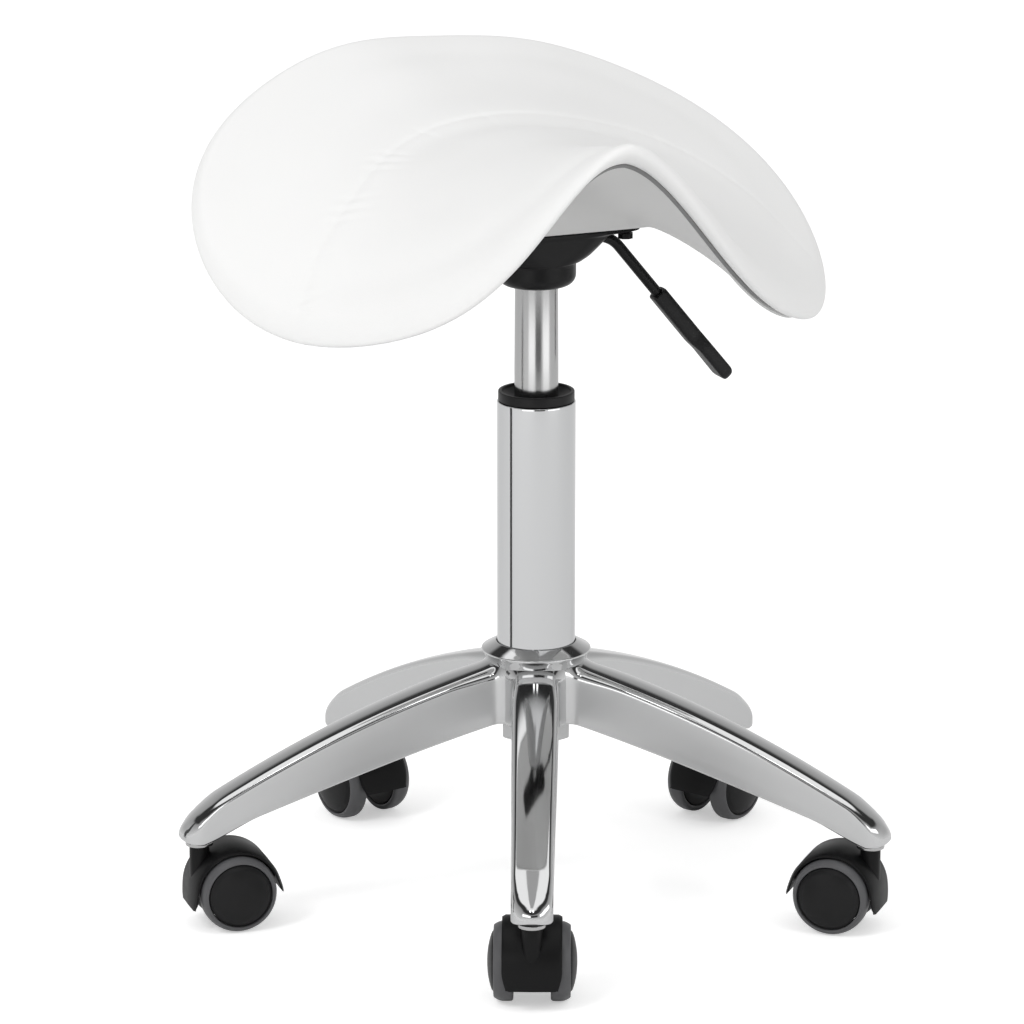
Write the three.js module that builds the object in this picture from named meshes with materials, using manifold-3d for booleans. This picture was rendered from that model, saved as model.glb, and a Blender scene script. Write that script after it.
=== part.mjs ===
// A height-adjustable saddle stool on a five-star base with twin-wheel casters.
// Millimetres, +Z up. The origin is on the floor, in the middle of the base's footprint.
import * as THREE from "three";
import { mergeVertices } from "three/addons/utils/BufferGeometryUtils.js";
import Module from "manifold-3d";

const wasm = await Module();
wasm.setup();

// Clearances and cutting tools
const FIT_GAP = 0.3; // between a seated piece and its seat
const CUT_OVERRUN = 3; // how far a cutting tool reaches past the surface it opens

// Facets round each kind of round piece
const SIDES = { column: 28, tube: 24, wheel: 20, stem: 10, axle: 8, rod: 5 };

// Star base
const LEG_COUNT = 5;
const LEG_REACH = 224; // column axis to caster stem
const COLUMN_OFFSET = 18.9; // behind the middle of the footprint
const LEG_TIP_RADIUS = 13;
const LEG_ROOT_WIDTH = 30;
const LEG_ROOT_BOTTOM = 123;
const LEG_TIP_TOP = 75;
const LEG_TIP_BOTTOM = 57;
const LEG_TIP_DROP = 7; // how far the top rounds down over the nose
const LEG_TIP_RISE = 4; // how far the underside rounds up to the nose
const LEG_TIP_LENGTH = 24; // where the underside starts to swell down to the boss
const LEG_ROOT_CORNER = 13; // corner radius of the arched root
const LEG_CORNER = 5; // corner radius of the rest of the leg
const LEG_CROWN = 0.8; // rise of the top face between its corners
const LEG_WALL = 4;
const LEG_RIB = 3.5;
const LEG_POCKETS = 4;
const LEG_BOSS_RADIUS = 9.5;

// Hub of the star base
const HUB_RIM_RADIUS = 35;
const HUB_RIM_HEIGHT = 163;
const HUB_RIM_EDGE = 2.5;
const HUB_CROWN_RISE = 10; // of the dome over the rim
const HUB_BODY_RADIUS = 24.5;
const HUB_FLARE = 14; // height of the part between body and rim
const HUB_BODY_BOTTOM = 120;
const HUB_STUB_RADIUS = 23;
const HUB_STUB_HEIGHT = 13;
const HUB_STUB_SIDES = 8;
const HUB_SOCKET_DEPTH = 8; // below the rim
const LEG_ROOT_DROP = 3; // of the root's top below the rim

// Column: outer tube with its tapered foot, and the plastic bush in its mouth
const COLUMN_RADIUS = 25;
const COLUMN_WALL = 2;
const COLUMN_TOP = 328.6;
const COLUMN_SHOULDER_DROP = 4;
const FOOT_TOP_RADIUS = 14;
const FOOT_BOTTOM_RADIUS = 13.3;
const FOOT_RECESS = 5; // of the foot's end inside the stub
const FOOT_PLATE = 3;
const BUSH_COLLAR_RADIUS = 24.3;
const BUSH_COLLAR_HEIGHT = 6.6;
const BUSH_DISH_DEPTH = 1.6;
const BUSH_DISH_INNER = 17;
const BUSH_DISH_OUTER = 22;
const BUSH_DEPTH = 74;

// Gas lift: cylinder that rises and turns, rod that stays down on its thrust bearing
const CYLINDER_RADIUS = 14;
const CYLINDER_NECK_RADIUS = 13.5;
const CYLINDER_WALL = 2;
const CYLINDER_TOP = 425;
const CYLINDER_TAPER = 75; // length of its upper, tapered part
const CYLINDER_BOTTOM = 230;
const VALVE_BLOCK = 22;
const ROD_RADIUS = 4.5;
const ROD_TOP = 316;
const ROD_TAIL_RADIUS = 4;
const ROD_GUIDE_HEIGHT = 14;
const ROD_GUIDE_LIP = 1.5;
const PISTON_HEIGHT = 12;
const RACE_RADIUS = 10.8;
const RACE_HEIGHT = 1.6;
const CAGE_HEIGHT = 3.4;
const CAGE_RADIUS = 9.8;
const CAGE_POCKETS = 6;
const CAGE_POCKET_RADIUS = 1.6;
const BUMP_STOP_RADIUS = 10.5;
const LIFT_DOWN = 65; // from the photographed height to the lowest
const CLIP_RADIUS = 7;
const CLIP_HEIGHT = 1.2;
const CLIP_GROOVE = 1;
const ROD_END_MARGIN = 0.8;
const WASHER_RADIUS = 8.5;
const WASHER_HEIGHT = 1;
const PIN_RADIUS = 2.5;
const PIN_LENGTH = 36;

// Seat mount: socket for the cylinder, bell and plate
const MOUNT_ENGAGEMENT = 20; // of the cylinder in the mount
const CUP_RADIUS = 21.5;
const CUP_HEIGHT = 15.5;
const CUP_CORNER = 6;
const BELL_WALL = 4;
const PLATE_LENGTH = 130; // across the seat
const PLATE_DEPTH = 52;
const PLATE_THICKNESS = 3.7;
const PLATE_EDGE_THICKNESS = 2;
const PLATE_SQUARENESS = 5; // 2 would be an ellipse
const EAR_THICKNESS = 4;
const EAR_LENGTH = 12;
const EAR_RISE = 4.5; // above the pivot's axis
const EAR_DROP = 7.8; // below it
const SLOT_WIDTH = 10;
const SLOT_HEIGHT = 15;
const SCREW_SPACING = 108; // across the seat
const SCREW_PITCH = 32; // front to back
const SCREW_RADIUS = 3;
const SCREW_HEAD_RADIUS = 5;
const SCREW_HEAD_HEIGHT = 3.4;
const SCREW_SOCKET_RADIUS = 2.4;
const SCREW_SOCKET_DEPTH = 2;
const SCREW_BITE = 8; // how far a screw reaches into the pan

// Height lever, in the plane across the seat
const LEVER_RADIUS = 3.5;
const LEVER_RISE = 9; // of its inner end over the cylinder's top
const LEVER_SAG = 3; // the inner run slopes down by this much
const LEVER_RUN = 42;
const LEVER_INNER_END = 5; // past the column axis
const LEVER_ANGLE = THREE.MathUtils.degToRad(50.5);
const LEVER_BEND = 9;
const LEVER_STEPS = 14;
const LEVER_STEM = 64; // the straight stretch below the bend
const LEVER_PIVOT_REACH = 26;
const PIVOT_RADIUS = 1.5;
const PIVOT_HEAD_RADIUS = 2.8;
const PIVOT_HEAD_HEIGHT = 1.2;
const GRIP_LENGTH = 76;
const GRIP_OVERLAP = 22; // of the rod inside the grip
const GRIP_WIDTH = 12;
const GRIP_THICKNESS = 10.5;
const GRIP_PADDLE_WIDTH = 17;
const GRIP_PADDLE_THICKNESS = 9;
const GRIP_CORNER = 2.2;
const GRIP_STEP = 2.4; // how far the paddle steps up from the barrel's underside

// Saddle seat
const SEAT_ANGLE = THREE.MathUtils.degToRad(23.6); // the front points at the viewer, turned to the right
const SEAT_LENGTH = 324;
const SEAT_WIDTH = 416;
const SEAT_SETBACK = 4.5;
const OUTLINE_WAVE_SHARES = [-0.0955, -0.114, 0.06, 0, -0.011]; // of the mean reach, per turn
const SADDLE_DEPTH = 55.5; // from the pan's pad up to the lowest point of the crest
const SADDLE_FRONT_RISE = 33;
const SADDLE_REAR_RISE = 38.5;
const FLANK_SLOPE_SHARES = { rear: 0.21, middle: 0.575, front: 1.33 }; // fall per unit of width
const LEAN_SHARE = 0.022; // fall per unit of width towards the lower flank
const RIDGE_RADIUS_REAR = 88;
const RIDGE_RADIUS_FRONT = 28;
const CUSHION_EDGE_END = 17;
const CUSHION_EDGE_SIDE = 19;
const CUSHION_ROLL = 8;
const SHOULDER_DROP = 13; // how far the top sinks towards the rim beside the nose
const SHOULDER_ANGLE = THREE.MathUtils.degToRad(31); // where, from the front
const SHOULDER_SPREAD_ANGLE = THREE.MathUtils.degToRad(23);
const PAN_INSET = 14;
const PAN_PAD_LENGTH = 168; // across the seat
const PAN_PAD_DEPTH = 60;
const PAN_PAD_SQUARENESS = 8;
const PAN_PAD_RISE = 15; // over the cylinder's top
const PAN_LIP = 8; // how far the pan's rim hangs below the cushion at the sides
const PAN_THICKNESS = 11;
const PAN_EDGE_THICKNESS = 5;
const SEAT_SEGMENTS = 56;

// Twin-wheel casters
const CASTER_TRAIL = 21; // stem axis to axle
const TREAD_RADIUS = 25;
const TREAD_DEPTH = 4.4;
const TREAD_INNER_FACE = 11.5;
const TREAD_WIDTH = 12.2;
const TREAD_SHOULDER = 2.2;
const WHEEL_DOME = 4;
const WHEEL_DOME_SHARE = 0.8; // how far out, and how high, the dome turns over
const AXLE_RADIUS = 3;
const AXLE_LENGTH = 39;
const HOOD_RADIUS = 28.4;
const HOOD_WALL = 2.4;
const HOOD_WIDTH = 37;
const HOOD_OUTER_ANGLE = THREE.MathUtils.degToRad(-19);
const HOOD_INNER_ANGLE = THREE.MathUtils.degToRad(184);
const HOOD_TIP_ANGLE = THREE.MathUtils.degToRad(5); // how far the inside stops short of the tips
const HOOD_FACETS = 10;
const HOOD_WEB = 8;
const HOOD_WEB_ANGLE = THREE.MathUtils.degToRad(8);
const HOOD_BOSS_RADIUS = 6.6;
const STEM_SOCKET_RADIUS = 6.4;
const STEM_SOCKET_TOP = 54;
const STEM_SOCKET_DEPTH = 20;
const STEM_RADIUS = 5.5;
const STEM_NECK_RADIUS = 3.7;
const STEM_HEIGHT = 13; // in the leg
const STEM_FLANGE_RADIUS = 8.8;
const STEM_RING_GROOVE = 0.7;

// Sizes that follow from the ones above
const HUB_CROWN_HEIGHT = HUB_RIM_HEIGHT + HUB_CROWN_RISE;
const HUB_BODY_TOP = HUB_RIM_HEIGHT - HUB_FLARE;
const HUB_SOCKET_FLOOR = HUB_RIM_HEIGHT - HUB_SOCKET_DEPTH;
const HUB_STUB_BOTTOM = HUB_BODY_BOTTOM - HUB_STUB_HEIGHT;
const LEG_ROOT_TOP = HUB_RIM_HEIGHT - LEG_ROOT_DROP;
const FOOT_BOTTOM = HUB_STUB_BOTTOM + FOOT_RECESS;
const LEG_STEP = (2 * Math.PI) / LEG_COUNT;
const FRONT_LEG = -Math.PI / 2;
const WHEEL_CENTRE = TREAD_RADIUS * Math.cos(Math.PI / SIDES.wheel);
const MOUNT_BOTTOM = CYLINDER_TOP - MOUNT_ENGAGEMENT;
const PAN_PAD_HEIGHT = CYLINDER_TOP + PAN_PAD_RISE;
const SADDLE_DIP = PAN_PAD_HEIGHT + SADDLE_DEPTH;
const LEVER_HEIGHT = CYLINDER_TOP + LEVER_RISE;
const PIVOT_HEIGHT = LEVER_HEIGHT - (LEVER_SAG * LEVER_PIVOT_REACH) / LEVER_RUN;

// Finishes by the name of the material
const FINISHES = {
  chrome: { color: 0xc9ccd0, roughness: 0.08, metalness: 1 },
  brushed: { color: 0xa9abae, roughness: 0.32, metalness: 1 },
  steel: { color: 0x8d9094, roughness: 0.3, metalness: 1 },
  blackPlastic: { color: 0x1b1b1c, roughness: 0.45, metalness: 0 },
  greyTread: { color: 0x55565a, roughness: 0.5, metalness: 0 },
  blackSteel: { color: 0x141415, roughness: 0.4, metalness: 0.3 },
  rubber: { color: 0x202021, roughness: 0.8, metalness: 0 },
  whiteShell: { color: 0xe4e4e2, roughness: 0.5, metalness: 0 },
  whiteVinyl: { color: 0xf3f3f1, roughness: 0.42, metalness: 0 },
};

// A closed geometry as a solid that can be joined and cut.
function solidFrom(geometry) {
  const bare = geometry.index ? geometry.toNonIndexed() : geometry.clone();
  for (const name of Object.keys(bare.attributes)) {
    if (name !== "position") bare.deleteAttribute(name);
  }
  const merged = mergeVertices(bare, 1e-4);
  const index = merged.index.array;
  const kept = [];
  for (let i = 0; i < index.length; i += 3) {
    const [a, b, c] = [index[i], index[i + 1], index[i + 2]];
    if (a !== b && b !== c && c !== a) kept.push(a, b, c);
  }
  return new wasm.Manifold(
    new wasm.Mesh({
      numProp: 3,
      vertProperties: merged.attributes.position.array,
      triVerts: new Uint32Array(kept),
    }),
  );
}

// A solid back as a geometry.
function geometryFrom(solid) {
  const mesh = solid.getMesh();
  const geometry = new THREE.BufferGeometry();
  geometry.setAttribute("position", new THREE.BufferAttribute(mesh.vertProperties, 3));
  geometry.setIndex(new THREE.BufferAttribute(mesh.triVerts, 1));
  geometry.computeVertexNormals();
  return geometry;
}

function cut(body, ...tools) {
  return tools.reduce((rest, tool) => rest.subtract(tool), body);
}

function join(...bodies) {
  return bodies.reduce((whole, body) => whole.add(body));
}

function addPiece(parent, name, shape, finish) {
  const geometry = shape.isBufferGeometry ? shape : geometryFrom(shape);
  const mesh = new THREE.Mesh(geometry, new THREE.MeshStandardMaterial(FINISHES[finish]));
  mesh.name = name;
  parent.add(mesh);
  return mesh;
}

// A profile of [radius, height] pairs, counter-clockwise, turned about the Z axis.
function turned(profile, sides) {
  const points = profile.map(([radius, height]) => new THREE.Vector2(radius, height));
  return new THREE.LatheGeometry(points, sides).rotateX(Math.PI / 2);
}

// A ring profile closes on itself.
function turnedRing(profile, sides) {
  return turned([...profile, profile[0]], sides);
}

function cylinder(radius, bottom, top, sides) {
  return turned([[0, bottom], [radius, bottom], [radius, top], [0, top]], sides);
}

function ring(inner, outer, bottom, top, sides) {
  return turnedRing([[inner, bottom], [outer, bottom], [outer, top], [inner, top]], sides);
}

function block(width, depth, height) {
  return new THREE.BoxGeometry(width, depth, height);
}

// Skins a row of loops with equal point counts. Each loop runs counter-clockwise about the row's direction.
function loft(loops) {
  const count = loops[0].length;
  const corners = loops.flat().flatMap((point) => point.toArray());
  const index = [];
  for (let i = 0; i + 1 < loops.length; i += 1) {
    for (let j = 0; j < count; j += 1) {
      const [a, b] = [i * count + j, i * count + ((j + 1) % count)];
      index.push(a, b, b + count, a, b + count, a + count);
    }
  }
  const last = (loops.length - 1) * count;
  for (let j = 1; j + 1 < count; j += 1) {
    index.push(0, j + 1, j, last, last + j, last + j + 1);
  }
  const geometry = new THREE.BufferGeometry();
  geometry.setAttribute("position", new THREE.Float32BufferAttribute(corners, 3));
  geometry.setIndex(index);
  return geometry;
}

function smoothStep(from, to, value) {
  return THREE.MathUtils.smoothstep(value, from, to);
}

// Star base

const LEG_START = HUB_BODY_RADIUS - LEG_WALL;
const LEG_END = LEG_REACH + LEG_TIP_RADIUS;

const LEG_HANDLE_PLACE_SHARES = [1 / 3, 2 / 3];

// Height along the leg's top or bottom edge: a curve whose middle handles are shares of its ends.
function legEdge(reach, root, tip, handleShares) {
  const along = THREE.MathUtils.clamp((reach - LEG_START) / (LEG_END - LEG_START), 0, 1);
  const near = root + (tip - root) * handleShares[0];
  const far = root + (tip - root) * handleShares[1];
  const curve = new THREE.CubicBezierCurve(
    new THREE.Vector2(0, root),
    new THREE.Vector2(LEG_HANDLE_PLACE_SHARES[0], near),
    new THREE.Vector2(LEG_HANDLE_PLACE_SHARES[1], far),
    new THREE.Vector2(1, tip),
  );
  return curve.getPoint(along).y;
}

const LEG_TOP_HANDLE_SHARES = [0.19, 0.52];
const LEG_BOTTOM_HANDLE_SHARES = [0.25, 0.66];

function legTop(reach) {
  return legEdge(reach, LEG_ROOT_TOP, LEG_TIP_TOP - LEG_TIP_DROP / 2, LEG_TOP_HANDLE_SHARES);
}

function legBottom(reach) {
  const edgeAt = (place) => legEdge(place, LEG_ROOT_BOTTOM, LEG_TIP_BOTTOM, LEG_BOTTOM_HANDLE_SHARES);
  const swell = smoothStep(LEG_REACH - LEG_TIP_LENGTH, LEG_REACH, reach);
  return edgeAt(reach) - (edgeAt(LEG_REACH) - LEG_TIP_BOTTOM) * swell;
}

function legHalfWidth(reach) {
  const along = smoothStep(HUB_BODY_RADIUS, LEG_REACH, reach);
  return LEG_ROOT_WIDTH / 2 + (LEG_TIP_RADIUS - LEG_ROOT_WIDTH / 2) * along;
}

// One cross-section of the leg: flat sides, rounded top corners and a slight crown.
function legSection(reach, halfWidth, bottom, top, corner) {
  const radius = Math.min(corner, halfWidth, top - bottom);
  const loop = [new THREE.Vector3(reach, -halfWidth, bottom), new THREE.Vector3(reach, halfWidth, bottom)];
  const steps = 2;
  for (const side of [1, -1]) {
    for (let i = 0; i <= steps; i += 1) {
      const turn = (side > 0 ? i / steps : 1 - i / steps) * (Math.PI / 2);
      const y = side * (halfWidth - radius + radius * Math.cos(turn));
      loop.push(new THREE.Vector3(reach, y, top - radius + radius * Math.sin(turn)));
    }
    if (side > 0) loop.push(new THREE.Vector3(reach, 0, top + LEG_CROWN));
  }
  return loop;
}

const LEG_STATION_SHARES = [0, 0.06, 0.1, 0.17, 0.28, 0.42, 0.57, 0.73, 0.88, 0.94, 1];
const LEG_NOSE_TURN_SHARES = [0.3, 0.6, 0.86];

function legBody() {
  const loops = LEG_STATION_SHARES.map((share) => {
    const reach = LEG_START + (LEG_REACH - LEG_START) * share;
    const root = 1 - smoothStep(HUB_BODY_RADIUS, HUB_RIM_RADIUS + LEG_ROOT_WIDTH, reach);
    const corner = LEG_CORNER + (LEG_ROOT_CORNER - LEG_CORNER) * root;
    return legSection(reach, legHalfWidth(reach), legBottom(reach), legTop(reach), corner);
  });
  for (const share of LEG_NOSE_TURN_SHARES) {
    const turn = (share * Math.PI) / 2;
    const reach = LEG_REACH + LEG_TIP_RADIUS * Math.sin(turn);
    const rounding = 1 - Math.cos(turn);
    const top = legTop(reach) - LEG_TIP_DROP * rounding;
    const bottom = LEG_TIP_BOTTOM + LEG_TIP_RISE * rounding;
    loops.push(legSection(reach, LEG_TIP_RADIUS * Math.cos(turn), bottom, top, LEG_CORNER));
  }
  return solidFrom(loft(loops));
}

// The open underside of a leg: a row of pockets with cross ribs between them.
function legPockets() {
  const start = HUB_RIM_RADIUS + LEG_WALL;
  const end = LEG_REACH - LEG_BOSS_RADIUS - LEG_RIB;
  const pitch = (end - start) / LEG_POCKETS;
  const pockets = [];
  for (let i = 0; i < LEG_POCKETS; i += 1) {
    const reaches = [start + i * pitch, start + (i + 1) * pitch - LEG_RIB];
    const loops = reaches.map((reach) => {
      const half = legHalfWidth(reach) - LEG_WALL;
      const top = legTop(reach) - LEG_CORNER - LEG_WALL / 2;
      const bottom = legBottom(reach) - CUT_OVERRUN;
      return [
        new THREE.Vector3(reach, -half, bottom),
        new THREE.Vector3(reach, half, bottom),
        new THREE.Vector3(reach, half - LEG_WALL / 2, top),
        new THREE.Vector3(reach, LEG_WALL / 2 - half, top),
      ];
    });
    pockets.push(solidFrom(loft(loops)));
  }
  return pockets;
}

function legBoss() {
  const top = legTop(LEG_REACH) - LEG_CORNER;
  return solidFrom(cylinder(LEG_BOSS_RADIUS, LEG_TIP_BOTTOM, top, SIDES.stem)
    .translate(LEG_REACH, 0, 0));
}

function stemHole() {
  const top = LEG_TIP_BOTTOM + STEM_HEIGHT + FIT_GAP;
  return solidFrom(cylinder(STEM_RADIUS + FIT_GAP, LEG_TIP_BOTTOM - CUT_OVERRUN, top, SIDES.stem)
    .translate(LEG_REACH, 0, 0));
}

// The dome's points between its rim and the column, as shares of that way.
const HUB_DOME_SHARES = [[0.76, 0.6], [0.38, 0.9], [0, 1]];

function hubBody() {
  const socket = COLUMN_RADIUS + FIT_GAP;
  return solidFrom(turned([
    [0, HUB_BODY_BOTTOM],
    [HUB_BODY_RADIUS, HUB_BODY_BOTTOM],
    [HUB_BODY_RADIUS, HUB_BODY_TOP],
    [HUB_RIM_RADIUS - HUB_RIM_EDGE, HUB_RIM_HEIGHT - HUB_RIM_EDGE],
    [HUB_RIM_RADIUS, HUB_RIM_HEIGHT],
    [HUB_RIM_RADIUS - HUB_RIM_EDGE / 2, HUB_RIM_HEIGHT + HUB_RIM_EDGE],
    ...HUB_DOME_SHARES.map(([out, up]) => [
      socket + (HUB_RIM_RADIUS - HUB_RIM_EDGE / 2 - socket) * out,
      HUB_RIM_HEIGHT + HUB_RIM_EDGE + (HUB_CROWN_HEIGHT - HUB_RIM_HEIGHT - HUB_RIM_EDGE) * up,
    ]),
    [0, HUB_CROWN_HEIGHT],
  ], SIDES.column));
}

// The octagonal stub under the hub.
function hubStub() {
  const stub = cylinder(HUB_STUB_RADIUS, HUB_STUB_BOTTOM, HUB_BODY_BOTTOM + FIT_GAP, HUB_STUB_SIDES);
  return solidFrom(stub.rotateZ(Math.PI / HUB_STUB_SIDES));
}

// The column's socket and the tapered bore for its foot.
function hubBore() {
  const taper = (FOOT_TOP_RADIUS - FOOT_BOTTOM_RADIUS) / (HUB_SOCKET_FLOOR - FOOT_BOTTOM);
  const mouth = FOOT_BOTTOM_RADIUS - taper * (FOOT_BOTTOM - HUB_STUB_BOTTOM) + FIT_GAP;
  return solidFrom(turned([
    [0, HUB_STUB_BOTTOM - CUT_OVERRUN],
    [mouth, HUB_STUB_BOTTOM - CUT_OVERRUN],
    [mouth, HUB_STUB_BOTTOM],
    [FOOT_TOP_RADIUS + FIT_GAP, HUB_SOCKET_FLOOR],
    [COLUMN_RADIUS + FIT_GAP, HUB_SOCKET_FLOOR],
    [COLUMN_RADIUS + FIT_GAP, HUB_CROWN_HEIGHT + CUT_OVERRUN],
    [0, HUB_CROWN_HEIGHT + CUT_OVERRUN],
  ], SIDES.column));
}

function starBase() {
  const leg = cut(join(cut(legBody(), ...legPockets()), legBoss()), stemHole());
  let base = join(hubBody(), hubStub());
  for (let i = 0; i < LEG_COUNT; i += 1) {
    const turn = THREE.MathUtils.radToDeg(FRONT_LEG + i * LEG_STEP);
    base = base.add(leg.rotate([0, 0, turn]));
  }
  return cut(base, hubBore());
}

// Column

function columnTube() {
  const inner = COLUMN_RADIUS - COLUMN_WALL;
  const floor = HUB_SOCKET_FLOOR + FIT_GAP;
  return turnedRing([
    [ROD_TAIL_RADIUS + FIT_GAP, FOOT_BOTTOM],
    [FOOT_BOTTOM_RADIUS, FOOT_BOTTOM],
    [FOOT_TOP_RADIUS, floor],
    [COLUMN_RADIUS - COLUMN_SHOULDER_DROP, floor],
    [COLUMN_RADIUS, floor + COLUMN_SHOULDER_DROP],
    [COLUMN_RADIUS, COLUMN_TOP],
    [inner, COLUMN_TOP],
    [inner, floor + COLUMN_SHOULDER_DROP + COLUMN_WALL],
    [FOOT_TOP_RADIUS - COLUMN_WALL, floor + COLUMN_WALL],
    [FOOT_BOTTOM_RADIUS - COLUMN_WALL, FOOT_BOTTOM + FOOT_PLATE],
    [ROD_TAIL_RADIUS + FIT_GAP, FOOT_BOTTOM + FOOT_PLATE],
  ], SIDES.column);
}

function columnBush() {
  const inner = CYLINDER_RADIUS + FIT_GAP;
  const sleeve = COLUMN_RADIUS - COLUMN_WALL - FIT_GAP;
  const seat = COLUMN_TOP + FIT_GAP;
  const top = COLUMN_TOP + BUSH_COLLAR_HEIGHT;
  return turnedRing([
    [inner, COLUMN_TOP - BUSH_DEPTH],
    [sleeve, COLUMN_TOP - BUSH_DEPTH],
    [sleeve, seat],
    [BUSH_COLLAR_RADIUS, seat],
    [BUSH_COLLAR_RADIUS, top - FIT_GAP],
    [BUSH_COLLAR_RADIUS - FIT_GAP, top],
    [BUSH_DISH_OUTER, top],
    [BUSH_DISH_OUTER, top - BUSH_DISH_DEPTH],
    [BUSH_DISH_INNER, top - BUSH_DISH_DEPTH],
    [BUSH_DISH_INNER, top - FIT_GAP],
    [inner, top - FIT_GAP],
  ], SIDES.column);
}

// Gas lift

const LOWER_RACE_BOTTOM = FOOT_BOTTOM + FOOT_PLATE;
const CAGE_BOTTOM = LOWER_RACE_BOTTOM + RACE_HEIGHT + FIT_GAP;
const UPPER_RACE_BOTTOM = CAGE_BOTTOM + CAGE_HEIGHT + FIT_GAP;
const BUMP_STOP_BOTTOM = UPPER_RACE_BOTTOM + RACE_HEIGHT;
const WASHER_TOP = FOOT_BOTTOM - FIT_GAP;
const CLIP_TOP = WASHER_TOP - WASHER_HEIGHT;
const ROD_BOTTOM = CLIP_TOP - CLIP_HEIGHT - ROD_END_MARGIN;

function thrustRace(bottom) {
  return ring(ROD_RADIUS + FIT_GAP, RACE_RADIUS, bottom, bottom + RACE_HEIGHT, SIDES.tube / 2);
}

// The cage with its balls, which stand proud of it on both faces.
function thrustCage() {
  const middle = CAGE_BOTTOM + CAGE_HEIGHT / 2;
  const pitchRadius = (ROD_RADIUS + CAGE_RADIUS) / 2;
  const plate = CAGE_HEIGHT / 4;
  let cage = solidFrom(
    ring(ROD_RADIUS + FIT_GAP, CAGE_RADIUS, middle - plate, middle + plate, SIDES.tube / 2),
  );
  for (let i = 0; i < CAGE_POCKETS; i += 1) {
    const turn = (i / CAGE_POCKETS) * 2 * Math.PI;
    const ball = new THREE.SphereGeometry(CAGE_POCKET_RADIUS, 6, 4)
      .translate(pitchRadius * Math.cos(turn), pitchRadius * Math.sin(turn), middle);
    cage = cage.add(solidFrom(ball));
  }
  return cage;
}

function pistonRod() {
  const grooved = ROD_TAIL_RADIUS - CLIP_GROOVE;
  return turned([
    [0, ROD_BOTTOM],
    [ROD_TAIL_RADIUS, ROD_BOTTOM],
    [ROD_TAIL_RADIUS, CLIP_TOP - CLIP_HEIGHT],
    [grooved, CLIP_TOP - CLIP_HEIGHT],
    [grooved, CLIP_TOP],
    [ROD_TAIL_RADIUS, CLIP_TOP],
    [ROD_TAIL_RADIUS, LOWER_RACE_BOTTOM],
    [ROD_RADIUS, LOWER_RACE_BOTTOM + FIT_GAP],
    [ROD_RADIUS, ROD_TOP - PISTON_HEIGHT],
    [ROD_TAIL_RADIUS, ROD_TOP - PISTON_HEIGHT],
    [ROD_TAIL_RADIUS, ROD_TOP],
    [0, ROD_TOP],
  ], SIDES.tube / 2);
}

function piston() {
  const outer = CYLINDER_RADIUS - CYLINDER_WALL - FIT_GAP;
  const bottom = ROD_TOP - PISTON_HEIGHT;
  const lip = PISTON_HEIGHT / 4;
  return turnedRing([
    [ROD_TAIL_RADIUS + FIT_GAP, bottom],
    [outer, bottom],
    [outer, bottom + lip],
    [outer - CYLINDER_WALL, bottom + lip],
    [outer - CYLINDER_WALL, ROD_TOP - lip],
    [outer, ROD_TOP - lip],
    [outer, ROD_TOP],
    [ROD_TAIL_RADIUS + FIT_GAP, ROD_TOP],
  ], SIDES.tube / 2);
}

function bumpStop() {
  const top = CYLINDER_BOTTOM - LIFT_DOWN - FIT_GAP;
  const waist = BUMP_STOP_RADIUS - CYLINDER_WALL;
  const third = (top - BUMP_STOP_BOTTOM) / 3;
  return turnedRing([
    [ROD_RADIUS + FIT_GAP, BUMP_STOP_BOTTOM],
    [BUMP_STOP_RADIUS, BUMP_STOP_BOTTOM],
    [waist, BUMP_STOP_BOTTOM + third],
    [BUMP_STOP_RADIUS, top - third],
    [waist, top],
    [ROD_RADIUS + FIT_GAP, top],
  ], SIDES.tube / 2);
}

// A snap clip in the rod's groove, open on one side.
function rodClip() {
  const inner = ROD_TAIL_RADIUS - CLIP_GROOVE + FIT_GAP;
  const bottom = CLIP_TOP - CLIP_HEIGHT + FIT_GAP / 2;
  const whole = solidFrom(ring(inner, CLIP_RADIUS, bottom, CLIP_TOP - FIT_GAP / 2, SIDES.tube / 2));
  const mouth = block(CLIP_RADIUS, ROD_TAIL_RADIUS, CLIP_HEIGHT + CUT_OVERRUN)
    .translate(CLIP_RADIUS / 2 + inner / 2, 0, CLIP_TOP);
  return cut(whole, solidFrom(mouth));
}

function cylinderRadiusAt(height) {
  const along = THREE.MathUtils.clamp(
    (height - CYLINDER_TOP + CYLINDER_TAPER) / CYLINDER_TAPER, 0, 1);
  return CYLINDER_RADIUS + (CYLINDER_NECK_RADIUS - CYLINDER_RADIUS) * along;
}

function gasCylinder() {
  const inner = CYLINDER_RADIUS - CYLINDER_WALL;
  const hole = PIN_RADIUS + FIT_GAP;
  return turnedRing([
    [inner, CYLINDER_BOTTOM],
    [CYLINDER_RADIUS, CYLINDER_BOTTOM],
    [CYLINDER_RADIUS, CYLINDER_TOP - CYLINDER_TAPER],
    [CYLINDER_NECK_RADIUS, CYLINDER_TOP],
    [hole, CYLINDER_TOP],
    [hole, CYLINDER_TOP - VALVE_BLOCK],
    [inner, CYLINDER_TOP - VALVE_BLOCK - CYLINDER_WALL],
  ], SIDES.tube);
}

function rodGuide() {
  const outer = CYLINDER_RADIUS - CYLINDER_WALL - FIT_GAP;
  const bottom = CYLINDER_BOTTOM + ROD_GUIDE_LIP;
  return ring(ROD_RADIUS + FIT_GAP, outer, bottom, bottom + ROD_GUIDE_HEIGHT, SIDES.tube / 2);
}

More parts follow.
